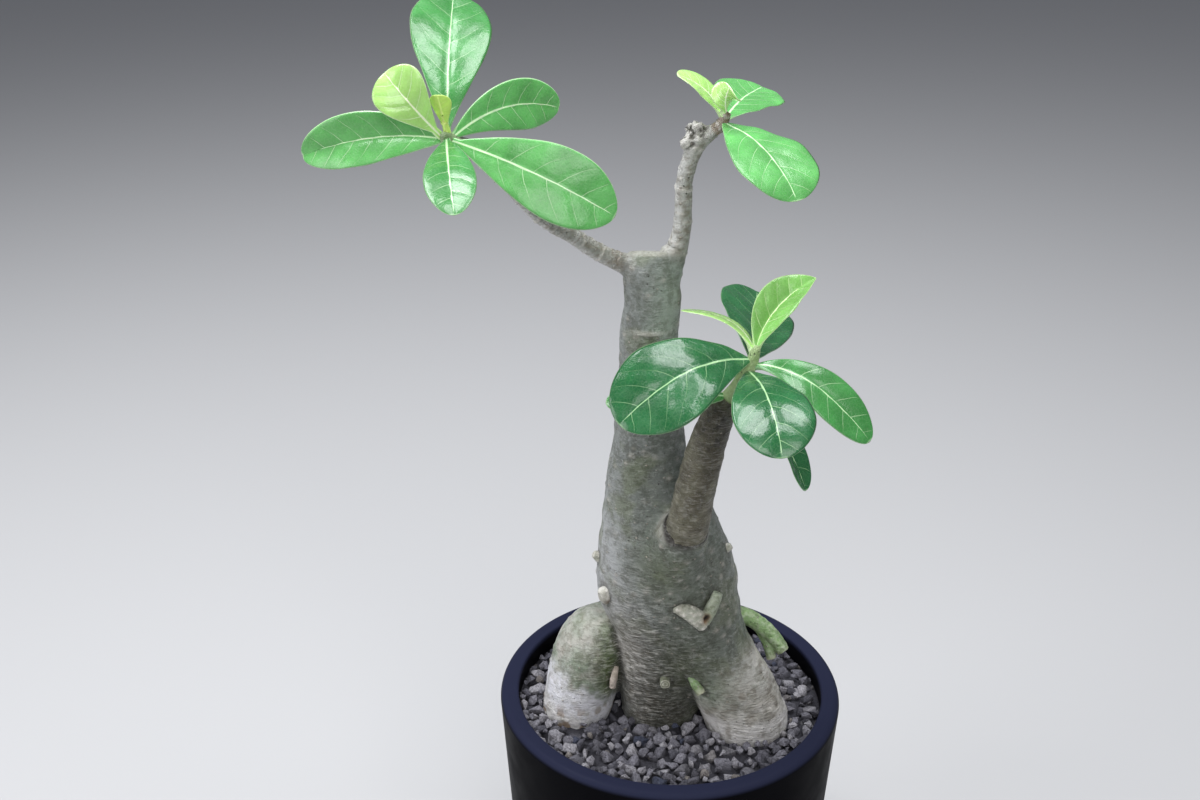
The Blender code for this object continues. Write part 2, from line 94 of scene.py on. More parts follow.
# ---- the plant: limbs are points (x, y, z, radius) ----
TRUNK_CORE = [
    (-10.3, 0, 274.0, 6.8), (-9.2, 0, 268, 8.6), (-8.4, 0, 261, 9.2), (-9.0, 0, 248, 9.1),
    (-9.4, 0, 234, 9.6), (-9.1, 0, 222, 10.6), (-8.5, 0, 209, 12.0), (-8.6, 0, 198, 13.8),
    (-6.9, 0, 186, 17.2), (-5.0, -0.5, 176, 20.4), (-2.8, -1, 163, 23.4), (-1.5, -1, 154, 24.2),
    (-0.8, -1, 146, 22.6), (-1.2, -1, 138, 19.6), (-2.0, -1.5, 129, 17.4), (-2.8, -2.2, 119, 15.7),
    (-3.0, -3, 108, 14.2), (-3.0, -3, 98, 12.4), (-3.0, -2, 84, 8.0), (-1.5, -2, 64, 4.6)]
LEFT_LOBE = [
    (-21.5, 2, 141.0, 8.0), (-22.5, 1.6, 136.5, 11.6), (-27.0, 0.5, 127.5, 13.1),
    (-30.4, -1, 117, 12.9), (-32.4, -2.5, 107, 12.4), (-34.0, -3, 97, 11.0),
    (-37.0, -3.5, 81, 6.6), (-40.5, -1, 62, 3.8)]
RIGHT_LOBE = [
    (3.0, -3, 154.0, 17.5), (5.6, -4, 146, 18.4), (9.5, -5, 137, 16.0), (14.2, -6, 129, 14.6),
    (19.5, -8, 121, 14.0), (24.0, -9.4, 113, 14.3), (26.6, -10.2, 105, 14.7),
    (28.0, -11, 97, 13.0), (31.0, -14, 83, 7.4), (35.5, -17, 64, 4.0)]
BACK_ROOT = [
    (4.0, 4, 140, 15.0), (6.0, 9, 122, 13.5), (8.0, 13.5, 106, 12.6), (9.0, 15, 97, 10.6),
    (12.0, 18, 80, 6.0), (15.0, 23, 62, 3.8)]
SIDE_COLLAR = [(-2.0, -9, 168, 13.5), (0.8, -16.5, 179, 9.8), (3.2, -20.6, 188.4, 7.6)]
TRUNK_LIMBS = [LEFT_LOBE, RIGHT_LOBE, BACK_ROOT, SIDE_COLLAR]

BOW_STUB = [(-0.6, -21.6, 157.4, 1.0), (3.4, -22.6, 157.3, 2.6), (7.0, -22.8, 155.0, 3.0),
            (9.6, -22.4, 151.8, 2.5)]
BOW_PRONG = [(9.4, -21.8, 152.8, 2.2), (11.8, -20.8, 156.8, 2.2), (14.2, -19.0, 162.2, 1.7)]
LEFT_ROOT_TIP = [(-21.0, -8.8, 152.0, 1.7), (-22.8, -10.6, 155.6, 2.5), (-23.8, -11.0, 158.4, 1.9)]
LEFT_BUMP = [(-24.6, -3, 166.0, 2.0), (-26.8, -3.4, 167.6, 1.3)]
RIGHT_BUMP = [(17.0, -5, 170.6, 2.0), (19.4, -5.2, 171.8, 1.1)]
RINGED_KNOB = [(-2.5, -14, 124.9, 2.0), (-2.5, -18.4, 124.9, 1.9)]
GREEN_PEG = [(5.4, -16.2, 127.8, 1.0), (7.6, -18.8, 125.6, 1.6), (9.8, -21.0, 122.8, 1.6)]
GROOVE_ROOT = [(-19.0, -9.8, 126.4, 0.9), (-19.9, -11.8, 122.6, 1.3), (-20.4, -12.4, 119.0, 1.2)]
ARCHED_ROOT = [(20.0, 6, 137.5, 3.4), (27.0, 5, 136.8, 3.0), (32.0, 2.6, 134.6, 2.9),
               (36.6, 0.2, 131.0, 2.5), (39.6, -2, 127.0, 2.3)]
ARCHED_PRONG = [(31.0, 3.4, 134.0, 2.0), (34.2, 0.8, 128.8, 1.9), (35.8, -1.2, 123.4, 1.8)]
PALE_STUBS = [BOW_STUB, BOW_PRONG, LEFT_ROOT_TIP, LEFT_BUMP, RIGHT_BUMP, RINGED_KNOB, GROOVE_ROOT]
GREEN_STUBS = [GREEN_PEG, ARCHED_ROOT, ARCHED_PRONG]

LEFT_STEM = [
    (-10.5, 1, 267.0, 4.6), (-15.6, 0, 269.2, 3.5), (-19.8, -2, 271.6, 3.0), (-25.0, -4, 274.9, 2.75),
    (-32.6, -8, 281.2, 2.55), (-41.2, -12, 288.0, 2.5), (-49.4, -16, 297.8, 2.4),
    (-56.2, -20, 306.3, 2.3), (-61.6, -24, 312.4, 2.2), (-65.6, -27.8, 315.6, 2.0),
    (-67.0, -31, 317.3, 1.7), (-67.5, -33, 318.7, 1.0)]
RIGHT_STEM = [
    (-4.2, 0, 264.0, 5.0), (-2.6, 0, 270.4, 4.0), (-0.2, 0, 278.0, 3.1), (0.6, 0, 286.5, 2.75),
    (0.6, 0, 294.5, 2.65), (1.9, 0, 301.5, 2.6), (4.6, 0, 307.6, 2.6), (8.6, -0.2, 311.2, 2.2),
    (11.0, -0.4, 313.2, 1.9), (12.2, -0.8, 315.4, 1.6), (12.6, -1.8, 317.4, 1.0)]
RIGHT_STEM_KNOBS = [
    (3.4, -0.6, 309.0, 2.3), (3.8, -0.8, 312.4, 1.9), (0.7, -1.0, 308.0, 1.9), (5.2, 0.6, 312.0, 1.6),
    (2.2, 1.4, 311.6, 1.6)]
SIDE_STEM = [
    (1.6, -19, 182.0, 7.0), (3.6, -21.6, 191.0, 6.9), (4.8, -22, 199.0, 6.6), (6.6, -22, 209.4, 6.2),
    (9.0, -22, 219.6, 5.8), (11.4, -22, 227.6, 5.2), (13.2, -22, 231.6, 4.2), (15.0, -22, 234.4, 2.9),
    (17.2, -22.2, 238.0, 2.5), (19.4, -22.3, 242.4, 2.3), (21.0, -22.3, 246.0, 2.1),
    (22.0, -22.3, 249.6, 1.6), (22.6, -22.3, 251.6, 1.0)]
STEM_CUT = 11.5                # arc length at which a stem's own piece starts
STEM_REACH = 2.6               # greatest height over a stem's tube that is still its skin
KNOBBY_REACH = 3.6             # the same for the right stem, where its dead knobs stand out
CUT_HEIGHT = 273.7             # level of the trunk's sawn top
TRUNK_WARTS = 380
BODY_VOXEL = 1.0
SKIN_VOXEL = 0.68
STUB_VOXEL = 0.3

# Crowns: centre, and the direction that the crown faces.
CROWNS = {
    "left": ((-67.0, -31.0, 317.3), (-0.20, -0.78, 0.60)),
    "right": ((12.0, -0.6, 314.8), (0.15, -0.45, 0.88)),
    "side": ((21.0, -22.3, 246.0), (0.05, -0.35, 0.93))}

# Leaves: tone, then the midrib's base, middle control point and tip from the centre of the
# crown in the leaf's name, half width, roll about the midrib, fold of each half, droop of
# the margins, and the two powers that shape the outline.
LEAVES = {
    "leaf_left_top":
        ("mature", (0.3, 1.2, -1.0), (0, 7, 17), (-0.5, 42, 31.5), 12.0, 26, 12, 0.10, 2.5, 0.50),
    "leaf_left_young":
        ("young", (-1.3, 0.2, 0.2), (-8.5, -8.5, 11), (-15.5, -1.5, 18), 7.6, -6, 8, 0.05, 2.3, 0.50),
    "leaf_left_bud":
        ("bud", (0.3, 0.4, 0.9), (-0.6, -2.2, 8), (-1.2, -4, 12.5), 3.2, 0, -15, 0.0, 2.4, 0.50),
    "leaf_left_rear":
        ("bright", (0.8, 2.1, -1.2), (15, 12, 10), (30.4, 28.2, 1.6), 7.3, 40, 6, 0.05, 1.7, 0.50),
    "leaf_left_outer":
        ("bright", (0.6, 1.7, -1.1), (-19, 4, 2), (-42.5, 12.5, -8.5), 8.4, -20, 26, 0.10, 1.5, 0.50),
    "leaf_left_large":
        ("bright", (1.2, 0.8, -1.1), (23.5, -12, -4.5), (46.5, -8, -20), 10.5, 6, 8, 0.05, 1.8, 0.55),
    "leaf_left_front":
        ("mature", (0.3, -1.0, -0.4), (2.5, -23, 0), (5.5, -39, -10), 7.0, -18, 8, 0.05, 1.7, 0.50),
    "leaf_right_young":
        ("young", (0.1, -0.2, 0.4), (-4.5, 7, 9), (-14, 2, 12.5), 5.5, 10, 12, 0.10, 1.7, 0.50),
    "leaf_right_bud":
        ("young", (0.3, -0.6, 1.3), (-1, -1.5, 5.5), (1, -3.5, 10.5), 4.8, 0, 0, 0.05, 2.6, 0.50),
    "leaf_right_rear":
        ("bright", (-0.2, 0.1, -0.5), (6, 21.5, 2), (15, 34.5, 2), 11.4, -8, 6, 0.05, 2.0, 0.50),
    "leaf_right_large":
        ("bright", (-0.5, 0.1, -1.1), (11, -19.5, -0.5), (18.5, -31, -15.5), 13.4, -6, 6, 0.08, 1.7, 0.50),
    "leaf_side_upright":
        ("fresh", (1.0, 0.0, 3.6), (4.5, 9.5, 15), (20.5, 17, 21), 7.6, 0, 34, 0.05, 1.25, 0.80),
    "leaf_side_arched":
        ("young", (0.8, 0.0, 2.6), (-2, 8.5, 13.5), (-21, 12.5, 12.2), 5.0, 33, 0, 0.05, 1.7, 0.50),
    "leaf_side_rear":
        ("dark", (0.2, 0.0, 0.4), (4.5, 27.5, 1), (6.5, 51, 4), 13.4, 20, 6, 0.05, 1.9, 0.50),
    "leaf_side_left":
        ("dark", (0.1, 0.0, 0.8), (-20, -13, 9.5), (-40, -20.5, -11), 14.2, -12, 6, 0.08, 1.75, 0.50),
    "leaf_side_right":
        ("mature", (-0.4, 0.0, -1.0), (15.5, -8.5, 5), (35, -13.5, -19.8), 7.5, 14, 10, 0.08, 2.0, 0.50),
    "leaf_side_front":
        ("dark", (-1.2, 0.0, -2.8), (3, -26, 5), (5.5, -38.5, -12.5), 12.2, 0, 6, 0.08, 1.8, 0.50),
    "leaf_side_hanging":
        ("dark", (-3.0, 0.1, -7.0), (11, -0.5, -20.5), (17.5, -9, -39), 6.6, -25, 20, 0.08, 1.6, 0.50),
    "leaf_side_low":
        ("mature", (-6.0, 0.3, -11.6), (-19, -7, -6), (-44, -7, -10), 6.5, -15, 6, 0.08, 1.8, 0.50)}

# Leaf tones: base colour, vein colour, roughness, weight of the clear coat.
LEAF_TONES = {
    "mature": ((0.044, 0.215, 0.050), (0.52, 0.76, 0.44), 0.28, 0.20),
    "bright": ((0.092, 0.345, 0.086), (0.62, 0.82, 0.52), 0.31, 0.16),
    "dark": ((0.014, 0.110, 0.033), (0.40, 0.64, 0.34), 0.26, 0.34),
    "young": ((0.36, 0.65, 0.17), (0.82, 0.94, 0.64), 0.28, 0.6),
    "fresh": ((0.165, 0.40, 0.085), (0.74, 0.90, 0.50), 0.30, 0.25),
    "bud": ((0.44, 0.66, 0.12), (0.60, 0.76, 0.22), 0.36, 0.10)}
LEAF_ROWS = 84
LEAF_COLUMNS = 44
PETIOLE_HALF_WIDTH = 1.15


# ---- mesh helpers ----

def new_object(name, data, material=None):
    obj = bpy.data.objects.new(name, data)
    bpy.context.scene.collection.objects.link(obj)
    if material:
        data.materials.clear()
        data.materials.append(material)
    return obj


def mesh_from(work, name):
    mesh = bpy.data.meshes.new(name)
    work.to_mesh(mesh)
    work.free()
    return mesh


def evaluated_mesh(obj):
    bpy.context.view_layer.update()
    graph = bpy.context.evaluated_depsgraph_get()
    return bpy.data.meshes.new_from_object(obj.evaluated_get(graph))


def apply_modifiers(obj):
    mesh = evaluated_mesh(obj)
    obj.modifiers.clear()
    obj.data = mesh


def mesh_points(mesh):
    """Vertex places in millimetres, as an array."""
    flat = np.empty(len(mesh.vertices) * 3, np.float32)
    mesh.vertices.foreach_get("co", flat)
    return flat.reshape(-1, 3).astype(float) / MM


def mesh_normals(mesh):
    flat = np.empty(len(mesh.vertices) * 3, np.float32)
    mesh.vertex_normals.foreach_get("vector", flat)
    return flat.reshape(-1, 3).astype(float)


def set_mesh_points(mesh, points):
    mesh.vertices.foreach_set("co", (points * MM).astype(np.float32).ravel())
    mesh.update()


def put_attribute(mesh, name, values):
    """Store one number or one colour per vertex for the materials."""
    values = np.asarray(values, np.float32)
    if values.ndim == 1:
        mesh.attributes.new(name, "FLOAT", "POINT").data.foreach_set("value", values)
    elif values.shape[1] == 3 and name != "tint":
        mesh.attributes.new(name, "FLOAT_VECTOR", "POINT").data.foreach_set("vector", values.ravel())
    else:
        rgba = np.ones((len(values), 4), np.float32)
        rgba[:, :3] = values
        mesh.attributes.new(name, "FLOAT_COLOR", "POINT").data.foreach_set("color", rgba.ravel())


def fractal(points, size, octaves=3, seed=0.0, stretch=(1, 1, 1)):
    """Smooth noise, about -1 to 1, whose largest lumps are size millimetres apart."""
    scaled = points / (size * np.array(stretch, float)) + seed
    return np.array([noise.fractal(Vector(p), 1.0, 2.0, octaves) for p in scaled])


def ease(values, low, high):
    """0 at low, going smoothly to 1 at high."""
    t = np.clip((values - low) / (high - low), 0, 1)
    return t * t * (3 - 2 * t)


def blob(points, centre, radii):
    """1 at the centre, falling smoothly to 0 about two radii out."""
    return np.exp(-(((points - np.array(centre, float)) / np.array(radii, float)) ** 2).sum(1))


class Paint:
    """Colours of a skin's vertices, with washes and spots laid one over another."""

    def __init__(self, points, colour):
        self.points = points
        self.colours = np.tile(np.array(colour, float), (len(points), 1))

    def wash(self, colour, amount):
        amount = np.clip(amount, 0, 1)[:, None]
        self.colours = self.colours + (np.array(colour, float) - self.colours) * amount

    def spot(self, colour, amount, centre, radii):
        self.wash(colour, amount * blob(self.points, centre, radii))

    def cover(self, other, share):
        share = share[:, None]
        self.colours = self.colours * (1 - share) + other.colours * share

    def store(self, mesh):
        put_attribute(mesh, "tint", np.clip(self.colours, 0.01, 1))


# ---- limbs ----

def limb_mesh(points, sides=6, steps=8, depth_scale=1.0):
    """A tapered tube through (x, y, z, radius) points, with closed ends."""
    curve = bpy.data.curves.new("limb", "CURVE")
    curve.dimensions = "3D"
    curve.bevel_depth = MM
    curve.bevel_resolution = sides
    curve.resolution_u = steps
    curve.use_fill_caps = True
    spline = curve.splines.new("BEZIER")
    spline.bezier_points.add(len(points) - 1)
    for knot, (x, y, z, radius) in zip(spline.bezier_points, points):
        knot.co = (x * MM, y * MM, z * MM)
        knot.radius = radius
        knot.handle_left_type = "AUTO"
        knot.handle_right_type = "AUTO"
    obj = new_object("limb", curve)
    mesh = evaluated_mesh(obj)
    bpy.data.objects.remove(obj)
    mesh.transform(Matrix.Diagonal((1.0, depth_scale, 1.0, 1.0)))
    return mesh


def ball_mesh(x, y, z, radius):
    work = bmesh.new()
    bmesh.ops.create_icosphere(work, subdivisions=3, radius=radius * MM)
    bmesh.ops.translate(work, verts=work.verts, vec=Vector((x, y, z)) * MM)
    return mesh_from(work, "ball")


def fused(name, meshes, voxel, smoothing):
    """One skin over overlapping closed meshes."""
    work = bmesh.new()
    for mesh in meshes:
        work.from_mesh(mesh)
    bmesh.ops.remove_doubles(work, verts=work.verts, dist=WELD)
    obj = new_object(name, mesh_from(work, name))
    remesh = obj.modifiers.new("fuse", "REMESH")
    remesh.mode = "VOXEL"
    remesh.voxel_size = voxel * MM
    smooth = obj.modifiers.new("soften", "SMOOTH")
    smooth.factor = 0.5
    smooth.iterations = smoothing
    apply_modifiers(obj)
    return obj


def along_limb(points, limb):
    """For each point: height over the limb's surface and arc length on its axis."""
    height = np.full(len(points), np.inf)
    along = np.zeros(len(points))
    start = 0.0
    for first, second in zip(limb[:-1], limb[1:]):
        a, b = np.array(first, float), np.array(second, float)
        step = b[:3] - a[:3]
        length = np.linalg.norm(step)
        t = np.clip((points - a[:3]) @ step / length ** 2, 0, 1)
        radius = a[3] + (b[3] - a[3]) * t
        above = np.linalg.norm(points - a[:3] - t[:, None] * step, axis=1) - radius
        closer = above < height
        height[closer] = above[closer]
        along[closer] = start + length * t[closer]
        start += length
    return height, along


def near_limbs(points, limbs, reach):
    """1 on the given limbs' own surface, 0 elsewhere."""
    amount = np.zeros(len(points))
    for limb in limbs:
        height = along_limb(points, limb)[0]
        amount = np.maximum(amount, 1 - ease(height, reach * 0.4, reach * 1.6))
    return amount


# ---- shader helpers ----

class Shader:
    """A material under construction, with short ways to add nodes."""

    def __init__(self, name, roughness, **constants):
        self.material = bpy.data.materials.new(name)
        self.material.use_nodes = True
        self.nodes = self.material.node_tree.nodes
        self.links = self.material.node_tree.links
        self.surface = self.nodes["Principled BSDF"]
        self.surface.inputs["Roughness"].default_value = roughness
        for key, value in constants.items():
            self.surface.inputs[key.replace("_", " ")].default_value = value
        self.place = self.nodes.new("ShaderNodeTexCoord").outputs["Object"]

    def put(self, socket, value):
        if isinstance(value, bpy.types.NodeSocket):
            self.links.new(value, socket)
        elif isinstance(value, tuple) and len(value) == 3 and socket.type == "RGBA":
            socket.default_value = (*value, 1.0)
        else:
            socket.default_value = value

    def math(self, operation, a, b=0.0):
        node = self.nodes.new("ShaderNodeMath")
        node.operation = operation
        self.put(node.inputs[0], a)
        self.put(node.inputs[1], b)
        return node.outputs[0]

    def times(self, a, b):
        return self.math("MULTIPLY", a, b)

    def plus(self, a, b):
        return self.math("ADD", a, b)

    def minus(self, a, b):
        return self.math("SUBTRACT", a, b)

    def ramp(self, value, low, high, out_low=0.0, out_high=1.0):
        node = self.nodes.new("ShaderNodeMapRange")
        node.interpolation_type = "SMOOTHSTEP"
        for key, item in zip(("Value", "From Min", "From Max", "To Min", "To Max"),
                             (value, low, high, out_low, out_high)):
            self.put(node.inputs[key], item)
        return node.outputs["Result"]

    def mix(self, amount, a, b, blend="MIX"):
        node = self.nodes.new("ShaderNodeMix")
        node.data_type = "RGBA"
        node.blend_type = blend
        self.put(node.inputs["Factor"], amount)
        for key, value in ((6, a), (7, b)):        # the A and B inputs that take colours
            self.put(node.inputs[key], value)
        return node.outputs[2]

    def scaled(self, per_metre):
        """Object coordinates multiplied by a size along each axis."""
        node = self.nodes.new("ShaderNodeMapping")
        self.put(node.inputs["Vector"], self.place)
        node.inputs["Scale"].default_value = per_metre
        return node.outputs["Vector"]

    def noise(self, size, detail=3.0, stretch=(1, 1, 1), rough=0.55, distortion=0.0):
        """Noise whose lumps are size millimetres across."""
        node = self.nodes.new("ShaderNodeTexNoise")
        self.put(node.inputs["Vector"], self.scaled(tuple(1.0 / (size * MM * s) for s in stretch)))
        node.inputs["Scale"].default_value = 1.0
        node.inputs["Detail"].default_value = detail
        node.inputs["Roughness"].default_value = rough
        node.inputs["Distortion"].default_value = distortion
        return node.outputs["Fac"]

    def cells(self, size, feature="F1", stretch=(1, 1, 1)):
        """Voronoi distance and a random colour per cell, with cells size millimetres across."""
        node = self.nodes.new("ShaderNodeTexVoronoi")
        node.feature = feature
        self.put(node.inputs["Vector"], self.scaled(tuple(1.0 / (size * MM * s) for s in stretch)))
        node.inputs["Scale"].default_value = 1.0
        return node.outputs["Distance"], node.outputs.get("Color")

    def attribute(self, name, output="Fac"):
        node = self.nodes.new("ShaderNodeAttribute")
        node.attribute_name = name
        return node.outputs[output]

    def split(self, vector):
        node = self.nodes.new("ShaderNodeSeparateXYZ")
        self.put(node.inputs[0], vector)
        return node.outputs

    def bump(self, height, depth_mm, strength=1.0):
        node = self.nodes.new("ShaderNodeBump")
        node.inputs["Distance"].default_value = depth_mm * MM
        node.inputs["Strength"].default_value = strength
        self.put(node.inputs["Height"], height)
        self.put(self.surface.inputs["Normal"], node.outputs["Normal"])

    def finish(self, colour, roughness=None):
        self.put(self.surface.inputs["Base Color"], colour)
        if roughness is not None:
            self.put(self.surface.inputs["Roughness"], roughness)
        return self.material


# ---- materials ----

def pot_material():
    s = Shader("black_plastic", 0.4, Specular_IOR_Level=0.015)
    dust = s.noise(18, 4)
    height = s.split(s.place)[2]
    # Painted light: the rim's top is painted lighter and bluer than the wall, where it faces the lamps.
    rim_painted_light = s.ramp(height, (POT_HEIGHT - 2.4) * MM, (POT_HEIGHT - 0.8) * MM)
    wall = s.mix(s.ramp(dust, 0.45, 0.75, 0.0, 0.5), (0.0025, 0.0025, 0.0035), (0.0045, 0.0045, 0.006))
    colour = s.mix(rim_painted_light, wall, (0.018, 0.0205, 0.042))
    s.bump(s.noise(0.6, 2), 0.03, 0.5)
    return s.finish(colour, s.ramp(s.noise(9, 4), 0.3, 0.7, 0.36, 0.48))


def soil_material():
    s = Shader("potting_mix", 0.95)
    _distance, tone = s.cells(2.2)
    crumbs = s.noise(1.6, 5)
    colour = s.mix(crumbs, (0.03, 0.018, 0.012), (0.16, 0.1, 0.065))
    colour = s.mix(0.35, colour, tone, "MULTIPLY")
    s.bump(crumbs, 0.8)
    return s.finish(colour)


def bark_material(name, roughness=0.42):
    """Thin bark: painted tint, mottling, chalky dust, level striations, specks and pits."""
    s = Shader(name, roughness)
    tint = s.attribute("tint", "Color")
    rough_skin = s.attribute("rough")
    patchy = s.minus(1.0, s.times(s.attribute("calm"), 0.8))
    mottle = s.noise(3.6, 6, rough=0.7)
    shadow = s.mix(1.0, tint, (0.55, 0.55, 0.50), "MULTIPLY")
    colour = s.mix(s.times(s.ramp(mottle, 0.44, 0.60, 0.0, 0.8), patchy), tint, shadow)
    dust = s.noise(1.3, 5, stretch=(1.15, 1.15, 0.9), rough=0.7, distortion=0.3)
    chalk = s.mix(0.6, tint, (0.60, 0.61, 0.60))
    chalky = s.plus(s.times(rough_skin, 0.38), s.ramp(s.noise(14, 2), 0.45, 0.65, 0.16, 0.36))
    chalky = s.times(chalky, patchy)
    colour = s.mix(s.times(s.ramp(dust, 0.50, 0.62), chalky), colour, chalk)
    lines = s.noise(1.0, 5, stretch=(3.2, 3.2, 0.5), rough=0.65, distortion=0.35)
    colour = s.mix(s.times(s.ramp(lines, 0.51, 0.62), s.times(rough_skin, 0.85)),
                   colour, s.mix(1.0, tint, (0.36, 0.34, 0.28), "MULTIPLY"))
    colour = s.mix(s.times(s.ramp(lines, 0.48, 0.38), s.times(rough_skin, 0.85)),
                   colour, s.mix(0.7, tint, (0.62, 0.60, 0.57)))
    speck_gap, speck_tone = s.cells(2.6, stretch=(1.2, 1.2, 0.9))
    chosen = s.ramp(s.split(speck_tone)[0], 0.60, 0.70)
    speck = s.times(s.ramp(speck_gap, 0.20, 0.08), chosen)
    colour = s.mix(s.times(speck, 0.6), colour, (0.52, 0.47, 0.40))
    pit_gap, pit_tone = s.cells(2.3)
    pit = s.times(s.ramp(pit_gap, 0.15, 0.05), s.ramp(s.split(pit_tone)[1], 0.55, 0.65))
    colour = s.mix(s.times(pit, 0.7), colour, (0.06, 0.05, 0.035))
    height = s.plus(s.times(s.noise(0.7, 5, rough=0.7), 0.6), s.times(dust, 1.1))
    height = s.minus(height, s.times(s.ramp(lines, 0.42, 0.66), rough_skin))
    height = s.plus(height, s.times(speck, 0.7))
    height = s.minus(height, pit)
    s.bump(height, 0.7, 1.1)
    return s.finish(colour, s.ramp(mottle, 0.3, 0.7, roughness - 0.1, roughness + 0.1))


def stone_material():
    """Porous lava, with a tone of its own on each grain."""
    s = Shader("lava_gravel", 0.92)
    tone = s.attribute("tone")
    colour = s.mix(s.ramp(tone, 0.0, 0.55), (0.080, 0.078, 0.098), (0.195, 0.19, 0.222))
    colour = s.mix(s.ramp(tone, 0.55, 0.85), colour, (0.34, 0.33, 0.36))
    colour = s.mix(s.ramp(tone, 0.93, 0.945), colour, (0.22, 0.20, 0.19))
    colour = s.mix(s.ramp(tone, 0.965, 0.985), colour, (0.045, 0.052, 0.085))
    grit = s.noise(0.8, 5, rough=0.7)
    shadow = s.mix(1.0, colour, (0.38, 0.37, 0.39), "MULTIPLY")
    colour = s.mix(s.ramp(grit, 0.38, 0.58, 0.75, 0.0), colour, shadow)
    colour = s.mix(s.ramp(grit, 0.6, 0.78, 0.0, 0.4), colour, (0.42, 0.40, 0.44))
    # Painted shade: each grain is darkened towards near black the lower it sits, as shade in the gaps
    # between grains.
    colour = s.mix(s.ramp(s.attribute("lift"), 0.0, 1.0, 0.75, 0.0), colour, (0.022, 0.021, 0.028))
    pores, _tone = s.cells(0.7)
    height = s.plus(s.ramp(pores, 0.05, 0.45), s.times(grit, 1.2))
    s.bump(height, 0.3, 0.9)
    return s.finish(colour)


def leaf_material(tone):
    """Glossy blade with a pale midrib, side veins that curve to the tip, and a pale margin."""
    base, pale, roughness, coat = LEAF_TONES[tone]
    s = Shader("leaf_" + tone, roughness, Coat_Weight=coat, Coat_Roughness=0.07,
               Subsurface_Weight=0.08, Subsurface_Radius=(0.0006, 0.0012, 0.0003))
    along, across, rim = s.split(s.attribute("blade", "Vector"))
    share = s.attribute("share")
    off = s.math("ABSOLUTE", across)
    wander = s.times(s.minus(s.noise(7, 2), 0.5), 1.6)
    curve = s.plus(s.times(off, 0.45), s.times(s.times(off, off), 0.045))
    phase = s.plus(s.minus(along, curve), wander)
    side_shift = s.times(s.math("GREATER_THAN", across, 0.0), 0.45)
    phase = s.plus(s.math("DIVIDE", phase, s.attribute("vein_gap")), side_shift)
    gap = s.times(s.math("ABSOLUTE", s.minus(s.math("FRACT", phase), 0.5)),
                 s.attribute("vein_gap"))
    width = s.ramp(off, 0.0, 11.0, 0.22, 0.08)
    vein = s.ramp(gap, width, 0.0)
    vein = s.times(vein, s.ramp(rim, 0.3, 1.8))
    vein = s.times(vein, s.ramp(s.noise(5, 2), 0.3, 0.55, 0.35, 1.0))
    rib_width = s.ramp(share, 0.0, 1.0, 0.38, 0.05)
    rib = s.ramp(off, s.plus(rib_width, 0.18), s.times(rib_width, 0.5))
    rib = s.times(rib, s.ramp(share, 0.99, 0.93))
    margin = s.ramp(rim, 0.34, 0.1)
    shade = s.noise(9, 3)
    colour = s.mix(s.ramp(shade, 0.35, 0.7), base, tuple(min(1.0, c * 1.35 + 0.004) for c in base))
    dark = tuple(c * 0.72 for c in base)
    colour = s.mix(s.times(s.ramp(gap, 0.9, 0.3), 0.15), colour, dark)
    net, _colour = s.cells(1.1, "DISTANCE_TO_EDGE")
    colour = s.mix(s.ramp(net, 0.08, 0.0, 0.0, 0.07), colour, pale)
    colour = s.mix(s.times(vein, 0.62), colour, pale)
    colour = s.mix(s.times(margin, 0.55), colour, pale)
    colour = s.mix(s.times(rib, 0.92), colour, tuple(min(1.0, c * 1.15) for c in pale))
    height = s.times(s.ramp(net, 0.0, 0.3), 0.15)
    height = s.plus(height, s.times(s.noise(2.6, 4, rough=0.6), 1.3))
    s.bump(height, 0.15, 0.7)
    return s.finish(colour, s.ramp(s.noise(4, 3), 0.3, 0.7, roughness - 0.07, roughness + 0.08))


# ---- pot ----

def turned(name, profile, material, steps):
    """Turn a profile of (radius, height) points, from the axis up and down the outer side."""
    mesh = bpy.data.meshes.new(name)
    points = [(radius * MM, 0.0, height * MM) for radius, height in profile]
    mesh.from_pydata(points, [(i, i + 1) for i in range(len(points) - 1)], [])
    obj = new_object(name, mesh, material)
    screw = obj.modifiers.new("turn", "SCREW")
    screw.steps = steps
    screw.render_steps = steps
    screw.use_merge_vertices = True
    screw.merge_threshold = WELD
    apply_modifiers(obj)
    work = bmesh.new()
    work.from_mesh(obj.data)
    bmesh.ops.remove_doubles(work, verts=work.verts, dist=WELD)
    work.to_mesh(obj.data)
    work.free()
    return obj


def arc(centre, radius, start, stop, count):
    """Points of a rounded edge round a (radius, height) centre, angles in degrees."""
    angles = [math.radians(start + (stop - start) * i / count) for i in range(count + 1)]
    return [(centre[0] + radius * math.cos(a), centre[1] + radius * math.sin(a)) for a in angles]


def wall_inside(height):
    """Inner radius of the pot's wall at a height above its floor."""
    taper = (POT_RIM_RADIUS - POT_FOOT_RADIUS) / POT_HEIGHT
    return POT_FOOT_RADIUS - WALL + taper * height


def drainage_mesh():
    work = bmesh.new()
    for i in range(DRAIN_HOLES):
        turn = Matrix.Rotation(2 * math.pi * (i + 0.5) / DRAIN_HOLES, 4, "Z")
        hole = Matrix.Translation((DRAIN_RING_RADIUS * MM, 0, 0))
        radius = DRAIN_HOLE_RADIUS * MM
        bmesh.ops.create_cone(work, segments=32, cap_ends=True, radius1=radius, radius2=radius,
                              depth=4 * POT_FLOOR * MM, matrix=turn @ hole)
        if i % 2 == 0:
            size = (FOOT_NOTCH_LENGTH * MM, FOOT_NOTCH_WIDTH * MM, 2 * FOOT_NOTCH_DEPTH * MM, 1)
            place = Matrix.Translation(((POT_FOOT_RADIUS - FOOT_NOTCH_INSET) * MM, 0, 0))
            bmesh.ops.create_cube(work, size=1.0, matrix=turn @ place @ Matrix.Diagonal(size))
    return mesh_from(work, "drainage")


